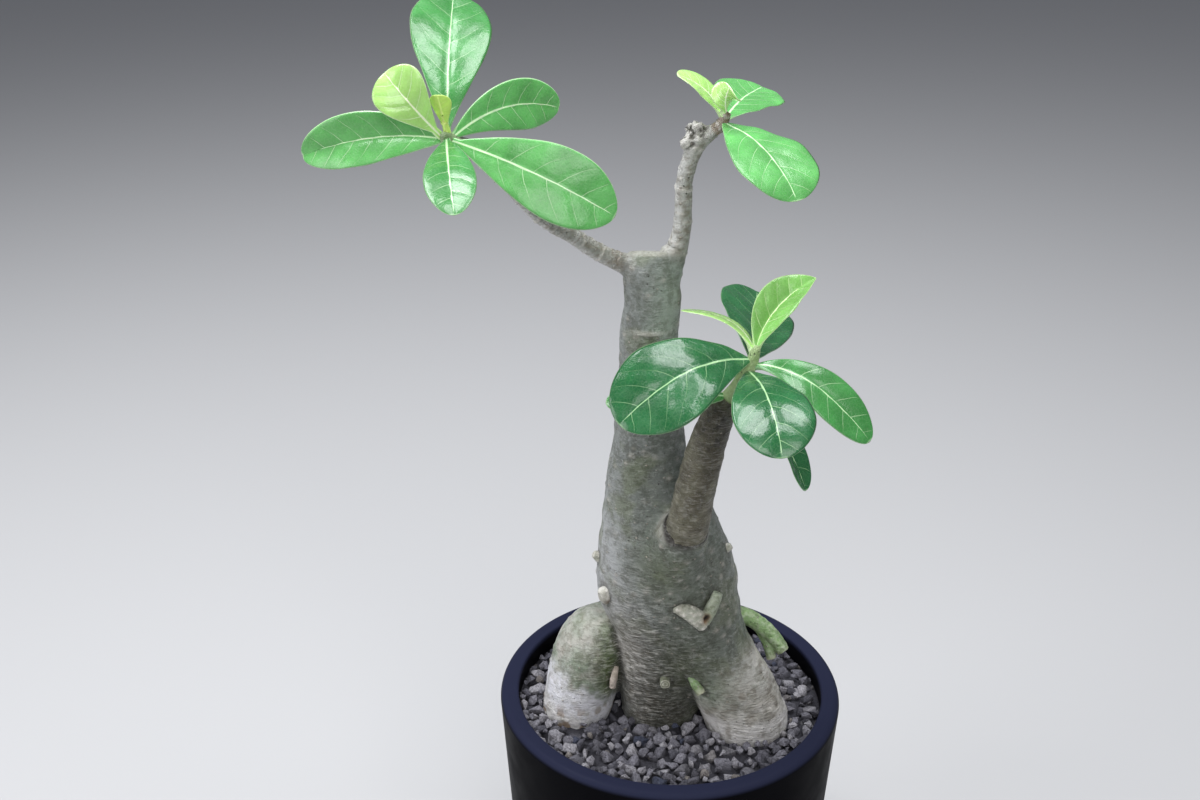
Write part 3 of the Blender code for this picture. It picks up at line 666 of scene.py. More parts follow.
def make_pot():
    inner_rim = POT_RIM_RADIUS - RIM_FLAT
    throat = POT_HEIGHT - RIM_DEPTH - THROAT_DROP
    corner = POT_FLOOR + FLOOR_CORNER
    edge = POT_HEIGHT - RIM_INNER_ROUND
    profile = [(0.0, POT_FLOOR), (wall_inside(POT_FLOOR) - FLOOR_CORNER, POT_FLOOR)]
    profile += [(wall_inside(corner), corner)]
    profile += [(wall_inside(throat), throat), (inner_rim, throat + THROAT_HEIGHT), (inner_rim, edge)]
    profile += arc((inner_rim + RIM_INNER_ROUND, edge), RIM_INNER_ROUND, 180, 90, 5)
    profile += arc((POT_RIM_RADIUS - RIM_ROUND, POT_HEIGHT - RIM_ROUND), RIM_ROUND, 90, 0, 12)
    profile += arc((POT_FOOT_RADIUS - FOOT_ROUND, FOOT_ROUND), FOOT_ROUND, 0, -90, 8)
    profile += [(FOOT_RING_INNER, 0.0), (FOOT_RING_INNER - RING_SLOPE, FOOT_RECESS)]
    profile += [(PAD_RADIUS + RING_SLOPE, FOOT_RECESS), (PAD_RADIUS, 0.0), (0.0, 0.0)]
    pot = turned("pot_shell", profile, pot_material(), POT_STEPS)
    cutter = new_object("drainage_cutter", drainage_mesh())
    boolean = pot.modifiers.new("drainage", "BOOLEAN")
    boolean.object = cutter
    apply_modifiers(pot)
    bpy.data.objects.remove(cutter)
    pot.data.shade_smooth()
    pot.data.set_sharp_from_angle(angle=math.radians(32))
    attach(pot, "root")
    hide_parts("pot")


# ---- wood ----

GREY_GREEN = (0.165, 0.19, 0.165)
GREY = (0.35, 0.37, 0.37)
OLIVE = (0.145, 0.175, 0.09)
LEAF_GREEN = (0.135, 0.225, 0.11)
BEIGE = (0.50, 0.475, 0.43)
POWDER = (0.93, 0.93, 1.0)
BROWN = (0.20, 0.155, 0.105)
# Painted shade: the dark colour laid into the lobe valleys, round the feet of stubs, under the scar, at
# the core's foot and in the knobs' sunken crust.
PAINTED_SHADE = (0.060, 0.058, 0.040)
CREAM = (0.84, 0.80, 0.74)
RUST = (0.36, 0.24, 0.14)
STEM_GREY = (0.62, 0.62, 0.60)
STUB_GREEN = (0.26, 0.41, 0.17)
# Painted shade, near black: laid into the crevice at the side stem's collar and into the hole in the bow
# stub.
PAINTED_DEEP_SHADE = (0.02, 0.015, 0.01)
SCAR = (-10, -9, 249.5)
DASHED_SIDE = ((-13, -16, 130), (12, 13, 26))
LOBE_FACE = ((26, -18, 112), (14, 14, 16))


def crease(points, limb):
    """1 along the valley where a lobe leaves the trunk's core."""
    lobe, core = along_limb(points, limb)[0], along_limb(points, TRUNK_CORE)[0]
    level = ease(points[:, 2], 100, 108) * (1 - ease(points[:, 2], 138, 148))
    return np.exp(-((lobe - core) / 1.3) ** 2) * level


def trunk_relief(points, valley):
    """Height to add over the smooth trunk, in millimetres."""
    relief = 0.45 * fractal(points, 15, 2, 3.1) + 0.26 * fractal(points, 5.5, 3, 9.7)
    folds = fractal(points, 2.6, 2, 4.4, (4.5, 4.5, 1))
    lower = blob(points, *DASHED_SIDE) + 0.6 * blob(points, *LOBE_FACE)
    relief += folds * (0.05 + 0.36 * np.clip(lower, 0, 1)) - 0.9 * valley
    relief += 0.3 * blob(points, SCAR, (5, 6, 0.8))
    flaking = blob(points, (-40, -8, 103), (9, 14, 6))
    relief += flaking * (0.3 + 0.9 * fractal(points, 3.4, 3, 6.6))
    return relief


def lenticels(points, count, seed, low, high):
    """Height of small raised warts at random places on the wood."""
    picker = np.random.default_rng(seed)
    height = np.zeros(len(points))
    open_wood = np.flatnonzero((points[:, 2] > low) & (points[:, 2] < high))
    for index in picker.choice(open_wood, count, replace=False):
        centre = points[index]
        radius = picker.uniform(0.45, 0.95)
        gap = points - centre
        reach = np.sqrt((gap[:, 0] ** 2 + gap[:, 1] ** 2) / 1.7 + gap[:, 2] ** 2)
        height = np.maximum(height, picker.uniform(0.15, 0.45) * np.exp(-(reach / radius) ** 2))
    return height


def paint_left_lobe(points, patches, fine):
    """Mottled green lobe with lavender powder and rusty flakes at its foot."""
    x, _y, z = points.T
    paint = Paint(points, (0.41, 0.45, 0.39))
    paint.wash(BEIGE, 0.40 + 0.9 * fine)
    paint.wash(LEAF_GREEN, ease(patches, -0.05, 0.35) * 0.6)
    paint.spot(CREAM, 0.4, (-28, -6, 137), (8, 12, 9))
    paint.spot((0.14, 0.20, 0.06), 0.95, (-21.5, -12, 127), (5.0, 14, 15))
    slope = z + 5 * fine + 0.55 * (x + 32)
    paint.wash(POWDER, ease(slope, 122, 115))
    paint.wash(CREAM, 0.5 * ease(slope, 109, 103))
    rusty = ease(fine, 0.12, 0.34) * ease(z, 114, 106)
    paint.wash(RUST, 0.85 * rusty)
    return paint


def paint_right_lobe(points, patches, fine):
    """Pale flaking lobe with a whitish foot."""
    level = points[:, 2] + 4 * fine
    paint = Paint(points, (0.44, 0.46, 0.44))
    paint.wash(BEIGE, 0.55 + 0.8 * patches)
    paint.spot(LEAF_GREEN, 0.55, (12, -20, 124), (8, 12, 12))
    paint.spot(CREAM, 1.0, (27, -6, 127), (8, 12, 10))
    paint.wash(CREAM, 0.95 * ease(level, 122, 109))
    paint.wash(POWDER, 0.4 * ease(level, 116, 108))
    paint.wash(BROWN, ease(fine, 0.2, 0.45) * 0.45)
    return paint


def paint_trunk(points, warts, valley):
    """Tint of the trunk's bark by region."""
    x, y, z = points.T
    patches = fractal(points, 13, 4, 1.3)
    fine = fractal(points, 4.0, 3, 7.9)
    lit_side = ease(-x, -12, 22)
    paint = Paint(points, GREY_GREEN)
    paint.wash(GREY, 0.05 + 0.62 * lit_side + 0.5 * patches)
    # A lighter grey-green spot on the upper trunk's front right: partly a greener tint of the bark, partly
    # painted light.
    paint.spot((0.36, 0.44, 0.36), 1.0, (-2, -9, 256), (7, 12, 17))
    paint.wash(LEAF_GREEN, 0.5 * blob(points, (-8, -9, 246), (4, 9, 8)) * (0.7 + patches))
    paint.spot((0.50, 0.51, 0.53), 0.9, (-24, -10, 165), (9, 14, 26))
    # Painted shade: two dark grey-green spots darken the middle front, beside the side stem.
    paint.spot((0.095, 0.11, 0.09), 0.8, (-12, -16, 203), (9, 14, 18))
    paint.spot((0.095, 0.115, 0.095), 0.75, (-7, -20, 178), (10, 14, 15))
    paint.wash(OLIVE, ease(patches, 0.0, 0.4) * 0.6)
    paint.spot(OLIVE, 0.55, (-4, -22, 172), (9, 12, 12))
    # Dark olive spots down the right of the core: partly olive bark, partly painted shade on the trunk's
    # darker side.
    paint.spot((0.10, 0.11, 0.075), 0.5, (14, -18, 160), (9, 14, 16))
    paint.spot((0.10, 0.115, 0.065), 0.85, (2, -20, 132), (12, 12, 15))
    paint.spot((0.70, 0.67, 0.63), 1.0, (-16, -14, 133), (8, 13, 18))
    earthy = 0.75 * blob(points, (-9, -16, 111), (12, 10, 13))
    paint.wash((0.16, 0.13, 0.095), earthy * (0.8 + 0.6 * fine))
    # Painted shade at the core's front foot, just above the gravel, between the two lobes.
    paint.spot(PAINTED_SHADE, 0.9, (1, -16, 109), (12, 9, 10))
    core = along_limb(points, TRUNK_CORE)[0]
    left = ease(core - along_limb(points, LEFT_LOBE)[0], -0.6, 1.2)
    paint.cover(paint_left_lobe(points, patches, fine), left)
    right = ease(core - along_limb(points, RIGHT_LOBE)[0], 0.0, 4.0)
    right = right * ease(z - 0.5 * x, 128, 114)
    paint.cover(paint_right_lobe(points, patches, fine), right)
    # Painted shade along the valleys where the lobes leave the core.
    paint.wash(PAINTED_SHADE, 0.8 * valley)
    paint.wash(BEIGE, warts * 2.2)
    # Painted shade on the trunk round the foot of each stub, peg and root tip.
    paint.wash(PAINTED_SHADE, 0.55 * near_limbs(points, PALE_STUBS + GREEN_STUBS, 1.1))
    collar = along_limb(points, SIDE_STEM)[0]
    rolled = (1 - ease(collar, 0.8, 3.5)) * ease(z, 182, 187)
    paint.wash(BEIGE, 0.6 * rolled)
    # Painted shade: near black in the crevice where the side stem's collar meets the trunk.
    gap = (1 - ease(collar, 0.2, 0.9)) * ease(z, 180, 186)
    paint.wash(PAINTED_DEEP_SHADE, gap)
    paint.spot(CREAM, 0.7, SCAR, (5, 6, 0.7))
    # Painted shadow: a thin dark band just under the raised scar.
    paint.spot(PAINTED_SHADE, 0.6, (SCAR[0], SCAR[1], SCAR[2] - 1.1), (5, 6, 0.5))
    paint.wash(CREAM, 0.4 * ease(z + 0.3 * y, 272.0, 272.8))
    paint.colours = np.clip(paint.colours, 0.01, 1)
    return paint


def ring_scars(points, along, spacing, seed):
    """Height of the leaf-scar ridges round a stem, unevenly spaced and broken."""
    wobble = 0.7 * fractal(points, 3.0, 2, seed)
    uneven = 1.5 * np.sin(along / 3.7 + seed) + 1.0 * np.sin(along / 1.9)
    phase = np.mod(along + wobble + uneven, spacing) / spacing
    broken = ease(fractal(points, 3.4, 2, seed + 3), -0.25, 0.2)
    return np.exp(-((phase - 0.5) / 0.10) ** 2) * broken


def split_off(source, name, keep, material):
    """A closed piece from the kept faces of a skin, capped where it was cut."""
    work = bmesh.new()
    work.from_mesh(source)
    work.faces.ensure_lookup_table()
    bmesh.ops.delete(work, geom=[face for face in work.faces if not keep[face.index]], context="FACES")
    border = [edge for edge in work.edges if edge.is_boundary]
    bmesh.ops.holes_fill(work, edges=border, sides=0)
    mesh = mesh_from(work, name)
    mesh.shade_smooth()
    return new_object(name, mesh, material)


def make_stubs():
    """Cut stubs, pegs and root tips, sunk a little into the trunk."""
    limbs = [limb_mesh(limb, 8, 10) for limb in PALE_STUBS + GREEN_STUBS]
    stubs = fused("trunk_stubs", limbs, STUB_VOXEL, 3)
    points, normals = mesh_points(stubs.data), mesh_normals(stubs.data)
    fine = fractal(points, 1.6, 3, 2.7)
    knob_x, _y, knob_z, _radius = RINGED_KNOB[1]
    from_knob = np.hypot(points[:, 0] - knob_x, points[:, 2] - knob_z)
    on_knob = blob(points, (knob_x, -17, knob_z), (3, 3, 3)) > 0.3
    rings = np.where(on_knob, np.cos(from_knob * 8.0), 0.0)
    rough_cut = blob(points, (9.2, -25.0, 153.6), (2.6, 3.0, 2.2)) * (0.6 * fractal(points, 0.9, 2, 5.5))
    hole = blob(points, (10.4, -24.4, 155.4), (0.8, 3.0, 0.8))
    relief = 0.16 * fine + 0.14 * rings + rough_cut - 1.2 * hole
    set_mesh_points(stubs.data, points + normals * relief[:, None])
    paint = Paint(points, (0.44, 0.45, 0.37))
    paint.wash(CREAM, 0.25 + fine)
    paint.wash((0.36, 0.42, 0.30), 0.8 * near_limbs(points, [BOW_PRONG], 0.6))
    paint.wash((0.80, 0.78, 0.72), near_limbs(points, [LEFT_ROOT_TIP], 0.6))
    paint.spot(BROWN, 1.1, (-21.9, -12, 154.2), (1.5, 3, 1.5))
    paint.wash((0.62, 0.50, 0.44), 0.7 * near_limbs(points, [GROOVE_ROOT], 0.6))
    green = near_limbs(points, GREEN_STUBS, 0.7)
    paint.wash(STUB_GREEN, green)
    paint.wash((0.46, 0.55, 0.36), 0.55 * green * ease(fine, -0.1, 0.3))
    for stub in (ARCHED_ROOT, ARCHED_PRONG, GREEN_PEG):
        paint.spot((0.66, 0.60, 0.50), 1.2, stub[-1][:3], (1.9, 1.9, 1.9))
    paint.spot((0.30, 0.17, 0.08), 1.3, (10.2, -24.4, 155.2), (1.4, 3.0, 1.4))
    # Painted shade: near black inside the hole sunk into the bow stub.
    paint.wash(PAINTED_DEEP_SHADE, 1.3 * hole)
    paint.wash((0.74, 0.74, 0.62), on_knob * 0.8)
    paint.wash(OLIVE, on_knob * 0.7 * ease(rings, 0.2, -0.6))
    paint.store(stubs.data)
    put_attribute(stubs.data, "rough", np.full(len(points), 0.12))
    stubs.data.materials.append(bark_material("stub_skin", 0.5))
    stubs.data.shade_smooth()
    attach(stubs, "root")
    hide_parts("trunk")


def paint_stems(points, lit_side, crust, rings, knobs, left, right):
    """Corky grey skin of the two stems, with rings, dead knobs and green tips."""
    left_height, left_along = left
    right_height, right_along = right
    fine = fractal(points, 2.2, 3, 4.9)
    along = np.where(left_height < right_height, left_along, right_along)
    stems = Paint(points, (0.25, 0.255, 0.21))
    stems.wash(STEM_GREY, 0.25 + 0.9 * lit_side + 0.45 * fine)
    stems.wash(BROWN, 0.4 * ease(fine, -0.1, -0.4))
    stems.wash(CREAM, 0.65 * rings)
    fine_rings = ease(np.sin((along + 0.5 * crust) * 4.6) + 0.9 * fine, 0.75, 1.25)
    stems.wash((0.19, 0.15, 0.10), 0.6 * fine_rings)
    stems.wash((0.66, 0.64, 0.60), 0.7 * knobs)
    # Painted shade in the sunken parts of the dead knobs' crust.
    stems.wash(PAINTED_SHADE, knobs * ease(crust, 0.05, -0.25))
    arm = (right_along > 51) & (right_height < 1.5)
    stems.wash((0.24, 0.15, 0.09), 0.7 * arm * (1 - knobs) * (1 - rings))
    green_tip = np.maximum(ease(left_along, 76, 82) * (left_height < STEM_REACH),
                           ease(right_along, 60, 63) * (right_height < STEM_REACH))
    stems.wash(STUB_GREEN, 0.8 * green_tip)
    joint = ease(left_along, 5, 8) * (1 - ease(left_along, 12, 16)) * (left_height < 1.6)
    stems.wash(BROWN, 0.6 * joint * ease(fine, -0.1, 0.15))
    return stems


def cut_wood(skin, on_left, on_right):
    """Separate the skin into trunk and stems, and return the corners of its faces."""
    corners = np.empty(len(skin.data.polygons) * 4, np.int32)
    skin.data.polygons.foreach_get("vertices", corners)
    corners = corners.reshape(-1, 4)
    left_faces = on_left[corners].all(1)
    right_faces = on_right[corners].all(1)
    bark = bark_material("bark")
    pieces = {"trunk_bark": (~left_faces & ~right_faces, "trunk", "grey_bark"),
              "left_stem_bark": (left_faces, "left_stem", "green_stem"),
              "right_stem_bark": (right_faces, "right_stem", "green_stem")}
    for name, (keep, node, slot) in pieces.items():
        piece = split_off(skin.data, name, keep, bark)
        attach(piece, "root")
        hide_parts(node)
    return corners


def make_wood():
    """Trunk, lobes and two stems grown as one skin, then cut into three pieces."""
    core = limb_mesh([(x, y / TRUNK_DEPTH_SCALE, z, r) for x, y, z, r in TRUNK_CORE], 8, 8,
                     TRUNK_DEPTH_SCALE)
    meshes = [core] + [limb_mesh(limb, 8, 8) for limb in TRUNK_LIMBS]
    body = fused("body", meshes, BODY_VOXEL, 5)
    meshes = [body.data, limb_mesh(LEFT_STEM), limb_mesh(RIGHT_STEM)]
    meshes += [ball_mesh(*knob) for knob in RIGHT_STEM_KNOBS]
    skin = fused("skin", meshes, SKIN_VOXEL, 3)
    bpy.data.objects.remove(body)
    points, normals = mesh_points(skin.data), mesh_normals(skin.data)
    left, right = along_limb(points, LEFT_STEM), along_limb(points, RIGHT_STEM)
    left_height, left_along = left
    right_height, right_along = right
    on_left = (left_height < STEM_REACH) & (left_along > STEM_CUT) & (points[:, 0] < -18)
    on_right = (right_height < KNOBBY_REACH) & (right_along > STEM_CUT) & (points[:, 2] > 274)
    warts = lenticels(points, TRUNK_WARTS, 11, 104, 270) * ~(on_left | on_right)
    stem_blend = np.maximum(ease(left_along, 5, 12) * (left_height < STEM_REACH),
                            ease(right_along, 6, 13) * (right_height < KNOBBY_REACH))
    valley = np.maximum(crease(points, LEFT_LOBE), 0.5 * crease(points, RIGHT_LOBE) * (points[:, 2] < 122))
    relief = trunk_relief(points, valley) * (1 - 0.8 * stem_blend) + warts
    left_rings = ring_scars(points, left_along, 4.1, 2.2)
    right_rings = ring_scars(points, right_along, 3.3, 5.2)
    rings = np.where(left_height < right_height, left_rings, right_rings) * stem_blend
    relief += 0.32 * rings + 0.16 * stem_blend * fractal(points, 2.4, 2, 8.8)
    knobs = np.clip(sum(blob(points, knob[:3], (2.6, 2.6, 2.6)) for knob in RIGHT_STEM_KNOBS), 0, 1)
    crust = fractal(points, 1.7, 2, 6.1)
    relief += 0.9 * knobs * crust
    points = points + normals * relief[:, None]
    cut_top = (points[:, 0] < -5.6) & (left_height > 0.8) & (right_height > 0.8)
    cut_height = CUT_HEIGHT - 0.3 * points[:, 1] + 0.12 * crust
    points[:, 2] = np.where(cut_top, np.minimum(points[:, 2], cut_height), points[:, 2])
    set_mesh_points(skin.data, points)
    paint = paint_trunk(points, warts, valley)
    lit_side = ease(-mesh_normals(skin.data)[:, 0], -0.5, 0.7)
    stems = paint_stems(points, lit_side, crust, rings, knobs, left, right)
    paint.cover(stems, stem_blend)
    paint.store(skin.data)
    dashes = 0.16 + 0.95 * blob(points, *DASHED_SIDE) + 0.35 * blob(points, *LOBE_FACE)
    put_attribute(skin.data, "rough", np.clip(dashes * (1 - 0.4 * stem_blend), 0, 1))
    foot = 0.6 * ease(points[:, 2], 122, 112) * (np.abs(points[:, 0] + 4) > 14)
    put_attribute(skin.data, "calm", np.maximum(stem_blend, foot))
    corners = cut_wood(skin, on_left, on_right)
    tree = BVHTree.FromPolygons([Vector(p) for p in points], corners.tolist())
    bpy.data.objects.remove(skin)
    return tree


def make_side_stem():
    """Brown bottle-shaped stem with a green shoot on its top."""
    stem = fused("side_stem_bark", [limb_mesh(SIDE_STEM)], 0.5, 3)
    points, normals = mesh_points(stem.data), mesh_normals(stem.data)
    along = along_limb(points, SIDE_STEM)[1]
    woody = 1 - ease(along, 50.5, 54)
    relief = (0.35 * fractal(points, 8, 3, 2.0) + 0.16 * fractal(points, 2.2, 3, 5.0, (2, 2, 1))) * woody
    warts = lenticels(points, 40, 5, 186, 228)
    set_mesh_points(stem.data, points + normals * (relief + 0.6 * warts)[:, None])
    points = mesh_points(stem.data)
    patches = fractal(points, 6, 4, 8.0)
    paint = Paint(points, (0.100, 0.088, 0.056))
    paint.wash((0.185, 0.175, 0.12), 0.4 + 1.2 * patches)
    paint.spot((0.055, 0.045, 0.03), 0.85, (12, -24, 226), (6, 7, 8))
    flecks = ease(fractal(points, 1.5, 2, 3.3), 0.16, 0.3) * blob(points, (10, -26, 226), (6, 7, 9))
    paint.wash((0.02, 0.015, 0.012), 0.9 * flecks)
    paint.wash(BEIGE, 0.7 * warts)
    shoot = Paint(points, (0.30, 0.45, 0.17))
    shoot.wash((0.46, 0.60, 0.30), 0.5 + 0.8 * patches)
    paint.cover(shoot, ease(along, 51, 55))
    paint.store(stem.data)
    put_attribute(stem.data, "rough", 0.22 * woody + 0.05)
    put_attribute(stem.data, "calm", 1 - 0.6 * woody)
    stem.data.materials.append(bark_material("side_bark"))
    stem.data.shade_smooth()
    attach(stem, "root")
    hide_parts("side_stem")


# ---- leaves ----

def outline(u, p, q):
    """Half width of an obovate blade, from 0 at the base to 1 at its widest."""
    return np.sin(np.pi * np.clip(u, 0, 1) ** p).clip(0, 1) ** q


def blade_grid(name, u, v):
    """Points and half widths of the blade's middle surface on a u, v grid."""
    _tone, base, middle, tip, half, roll, fold, droop, p, q = LEAVES[name]
    centre, facing = [np.array(item, float) for item in CROWNS[name.split("_")[1]]]
    base, middle, tip = [centre + np.array(item, float) for item in (base, middle, tip)]
    u3 = u[..., None]
    points = base * (1 - u3) ** 2 + middle * 2 * u3 * (1 - u3) + tip * u3 ** 2
    along = (middle - base) * (1 - u3) + (tip - middle) * u3
    along /= np.linalg.norm(along, axis=-1, keepdims=True)
    up = facing - along * (along @ facing)[..., None]
    up /= np.linalg.norm(up, axis=-1, keepdims=True)
    turn = math.radians(roll)
    normal = up * math.cos(turn) + np.cross(along, up) * math.sin(turn)
    across = np.cross(along, normal)
    width = np.maximum.reduce([half * outline(u, p, q), PETIOLE_HALF_WIDTH * (1 - u), 0.04 * half + 0 * u])
    lift = math.radians(fold)
    offset = v * width * math.cos(lift)
    height = np.abs(v) * width * math.sin(lift) - droop * width * v * v
    points = points + across * offset[..., None] + normal * height[..., None]
    return points, width


def grid_normals(points):
    down = np.gradient(points, axis=0)
    side = np.gradient(points, axis=1)
    normals = np.cross(side, down)
    return normals / np.maximum(np.linalg.norm(normals, axis=-1, keepdims=True), 1e-9)


def shaped_blade(name, seed):
    """Middle surface of a blade with its puffs and waves, and the measures of its grid."""
    picker = np.random.default_rng(seed)
    s = np.linspace(0, 1, LEAF_ROWS + 1)
    u_line = 0.45 * s + 0.55 * (0.5 - 0.5 * np.cos(np.pi * s))
    t = np.linspace(-1, 1, LEAF_COLUMNS + 1)
    v_line = np.sign(t) * (0.62 * np.abs(t) + 0.38 * np.abs(t) ** 2)
    u, v = np.meshgrid(u_line, v_line, indexing="ij")
    points, width = blade_grid(name, u, v)
    tone, half = LEAVES[name][0], LEAVES[name][4]
    ripple = 0.3 if tone in ("young", "bud") else 1.0
    steps = np.linalg.norm(np.diff(points[:, LEAF_COLUMNS // 2], axis=0), axis=1)
    along = np.concatenate([[0], np.cumsum(steps)])[:, None] + 0 * v
    across = v * width
    gap = along[-1, 0] / picker.uniform(6.3, 7.6)
    off = np.abs(across)
    phase = (along - 0.45 * off - 0.045 * off ** 2) / gap + 0.45 * (across > 0)
    distance = np.abs(np.mod(phase, 1) - 0.5) * gap
    blade_share = np.clip((width - 1.5) / 5, 0, 1)
    puff = 0.10 * blade_share * (1 - np.exp(-(distance / (0.22 * gap)) ** 2)) * (1 - np.abs(v) ** 6)
    hollow = 0.30 * np.exp(-(off / 1.5) ** 2) * (1 - u) ** 0.4
    swing = np.sin(along * 2 * np.pi / (gap * 1.9) + picker.uniform(0, 6))
    wave = 0.016 * half * blade_share * np.abs(v) ** 3 * swing
    lumps = np.array([[noise.noise(Vector((a / 9, b / 9, seed * 3.7))) for a, b in zip(row_a, row_b)]
                      for row_a, row_b in zip(along, across)])
    relief = puff - hollow + ripple * (wave + 0.035 * half * blade_share * lumps)
    points = points + grid_normals(points) * relief[..., None]
    return points, u, v, width, along, across, gap


def closed_blade(name, points, u, v, width):
    """Mesh of a blade's two faces with its keel and stalk, and which of its grid is inside."""
    normals = grid_normals(points)
    off = np.abs(v * width)
    edge = np.sqrt(np.clip(1 - np.abs(v) ** 6, 0, 1)) * np.sqrt(np.clip(1 - u ** 30, 0, 1))
    rib = np.exp(-(off / (0.9 - 0.55 * u)) ** 2) * (1 - 0.8 * u)
    stalk = np.clip(1 - (width - 1.1) / 2.2, 0, 1) * (u < 0.5)
    above = 0.26 * edge + 0.22 * rib * edge + 0.35 * stalk * edge
    below = 0.26 * edge + 0.62 * rib * edge + 0.45 * stalk * edge
    top = points + normals * above[..., None]
    bottom = points - normals * below[..., None]
    index = np.arange(u.size).reshape(u.shape)
    inside = np.zeros(u.shape, bool)
    inside[1:-1, 1:-1] = True
    under = index.copy()
    under[inside] = u.size + np.arange(inside.sum())
    vertices = np.concatenate([top.reshape(-1, 3), bottom[inside]])

    def faces(grid):
        return np.stack([grid[:-1, :-1], grid[:-1, 1:], grid[1:, 1:], grid[1:, :-1]], -1).reshape(-1, 4)

    quads = np.concatenate([faces(index), faces(under)[:, ::-1]])
    mesh = bpy.data.meshes.new(name)
    mesh.from_pydata((vertices * MM).tolist(), [], quads.tolist())
    mesh.validate()
    mesh.shade_smooth()
    return mesh, inside


def make_leaf(name, seed, materials):
    points, u, v, width, along, across, gap = shaped_blade(name, seed)
    mesh, inside = closed_blade(name + "_blade", points, u, v, width)
    rim = np.minimum((1 - np.abs(v)) * width, (1 - u) * along[-1, 0] * 0.55)

    def both(values):
        """Values of the whole upper face, then of the inside of the lower one."""
        return np.concatenate([values.reshape(-1), values[inside]])

    put_attribute(mesh, "blade", np.stack([both(along), both(across), both(rim)], 1))
    put_attribute(mesh, "share", both(u))
    put_attribute(mesh, "vein_gap", np.full(len(mesh.vertices), gap))
    blade = new_object(name + "_blade", mesh, materials[LEAVES[name][0]])
    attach(blade, "root")
    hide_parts(name)


# ---- gravel ----

def stone_shapes(count, cuts, picker):
    """Unit lava grains: hulls of random points, chipped and roughened."""
    shapes = []
    for _ in range(count):
        work = bmesh.new()
        for _ in range(picker.integers(11, 17)):
            direction = picker.normal(size=3)
            direction /= np.linalg.norm(direction)
            work.verts.new(direction * picker.uniform(0.72, 1.0))
        hull = bmesh.ops.convex_hull(work, input=work.verts)
        loose = [item for item in hull["geom_interior"] if isinstance(item, bmesh.types.BMVert)]
        bmesh.ops.delete(work, geom=loose, context="VERTS")
        bmesh.ops.subdivide_edges(work, edges=work.edges, cuts=cuts, use_grid_fill=True)
        bmesh.ops.smooth_vert(work, verts=work.verts, factor=0.25, use_axis_x=True,
                              use_axis_y=True, use_axis_z=True)
        bmesh.ops.triangulate(work, faces=work.faces)
        work.verts.index_update()
        points = np.array([vert.co for vert in work.verts])
        shift = Vector(picker.uniform(-50, 50, 3))
        rough = np.array([noise.noise(Vector(p) * 2.1 + shift) for p in points])
        points = points * (1 + 0.22 * rough[:, None])
        triangles = np.array([[vert.index for vert in face.verts] for face in work.faces])
        work.free()
        shapes.append((points, triangles))
    return shapes


def random_turn(picker):
    basis, _rest = np.linalg.qr(picker.normal(size=(3, 3)))
    if np.linalg.det(basis) < 0:
        basis[:, 0] *= -1
    return basis


def place_stones(tree, picker):
    """Centres and radii, large grains first, clear of the wood, the wall and each other."""
    places = []
    inner = POT_RIM_RADIUS - RIM_FLAT
    for smallest, largest, tries, pack in GRAIN_LAYERS:
        for _ in range(tries):
            radius = picker.uniform(smallest, largest)
            angle, reach = picker.uniform(0, 2 * math.pi), inner * math.sqrt(picker.uniform(0, 1))
            if reach > inner - 0.8 * radius:
                continue
            x, y = reach * math.cos(angle), reach * math.sin(angle)
            mound = 0.9 * noise.noise(Vector((x / 16, y / 16, 1.0)))
            z = GRAVEL_LEVEL - radius * picker.uniform(0.75, 1.05) + mound
            found = tree.find_nearest(Vector((x, y, z)))
            if found[3] < 0.62 * radius or (Vector((x, y, z)) - found[0]).dot(found[1]) < 0:
                continue
            if all((px - x) ** 2 + (py - y) ** 2 >= (pack * (radius + pr)) ** 2
                   for px, py, _pz, pr in places):
                places.append((x, y, z, radius))
    return places


def filler_places(picker):
    """Small grains lower down, which close the gaps between the others."""
    places = []
    inner = wall_inside(MIX_TOP + 4)
    for _ in range(FILLER_GRAINS):
        angle, reach = picker.uniform(0, 2 * math.pi), inner * math.sqrt(picker.uniform(0, 1))
        radius = picker.uniform(*FILLER_RADII)
        reach = min(reach, inner - radius)
        height = picker.uniform(*FILLER_LEVELS)
        places.append((reach * math.cos(angle), reach * math.sin(angle), height, radius))
    return places


def grain_mesh(places, picker):
    """One mesh of all grains, each with its own shape, proportions, turn and tone."""
    vertices, triangles, tones, gap_shade_lifts = [], [], [], []
    start = 0
    for (x, y, z, radius), shapes in places:
        points, faces = shapes[picker.integers(len(shapes))]
        size = np.array([picker.uniform(0.95, 1.3), picker.uniform(0.85, 1.1), picker.uniform(0.68, 0.95)])
        turn = random_turn(picker)
        placed = (points * size * radius) @ turn.T + np.array([x, y, z])
        vertices.append(placed)
        triangles.append(faces + start)
        tones.append(np.full(len(points), picker.uniform(0, 1)))
        # Height share for the painted shade between grains: 0 deep down, where the stone material paints
        # the grain darkest, 1 near the top.
        gap_shade_lifts.append(ease(placed[:, 2], GRAVEL_LEVEL - 4.2, GRAVEL_LEVEL - 1.2))
        start += len(points)
    mesh = bpy.data.meshes.new("lava_grains")
    mesh.from_pydata((np.concatenate(vertices) * MM).tolist(), [], np.concatenate(triangles).tolist())
    put_attribute(mesh, "tone", np.concatenate(tones))
    put_attribute(mesh, "lift", np.concatenate(gap_shade_lifts))
    mesh.shade_smooth()
    mesh.set_sharp_from_angle(angle=math.radians(33))
    return mesh


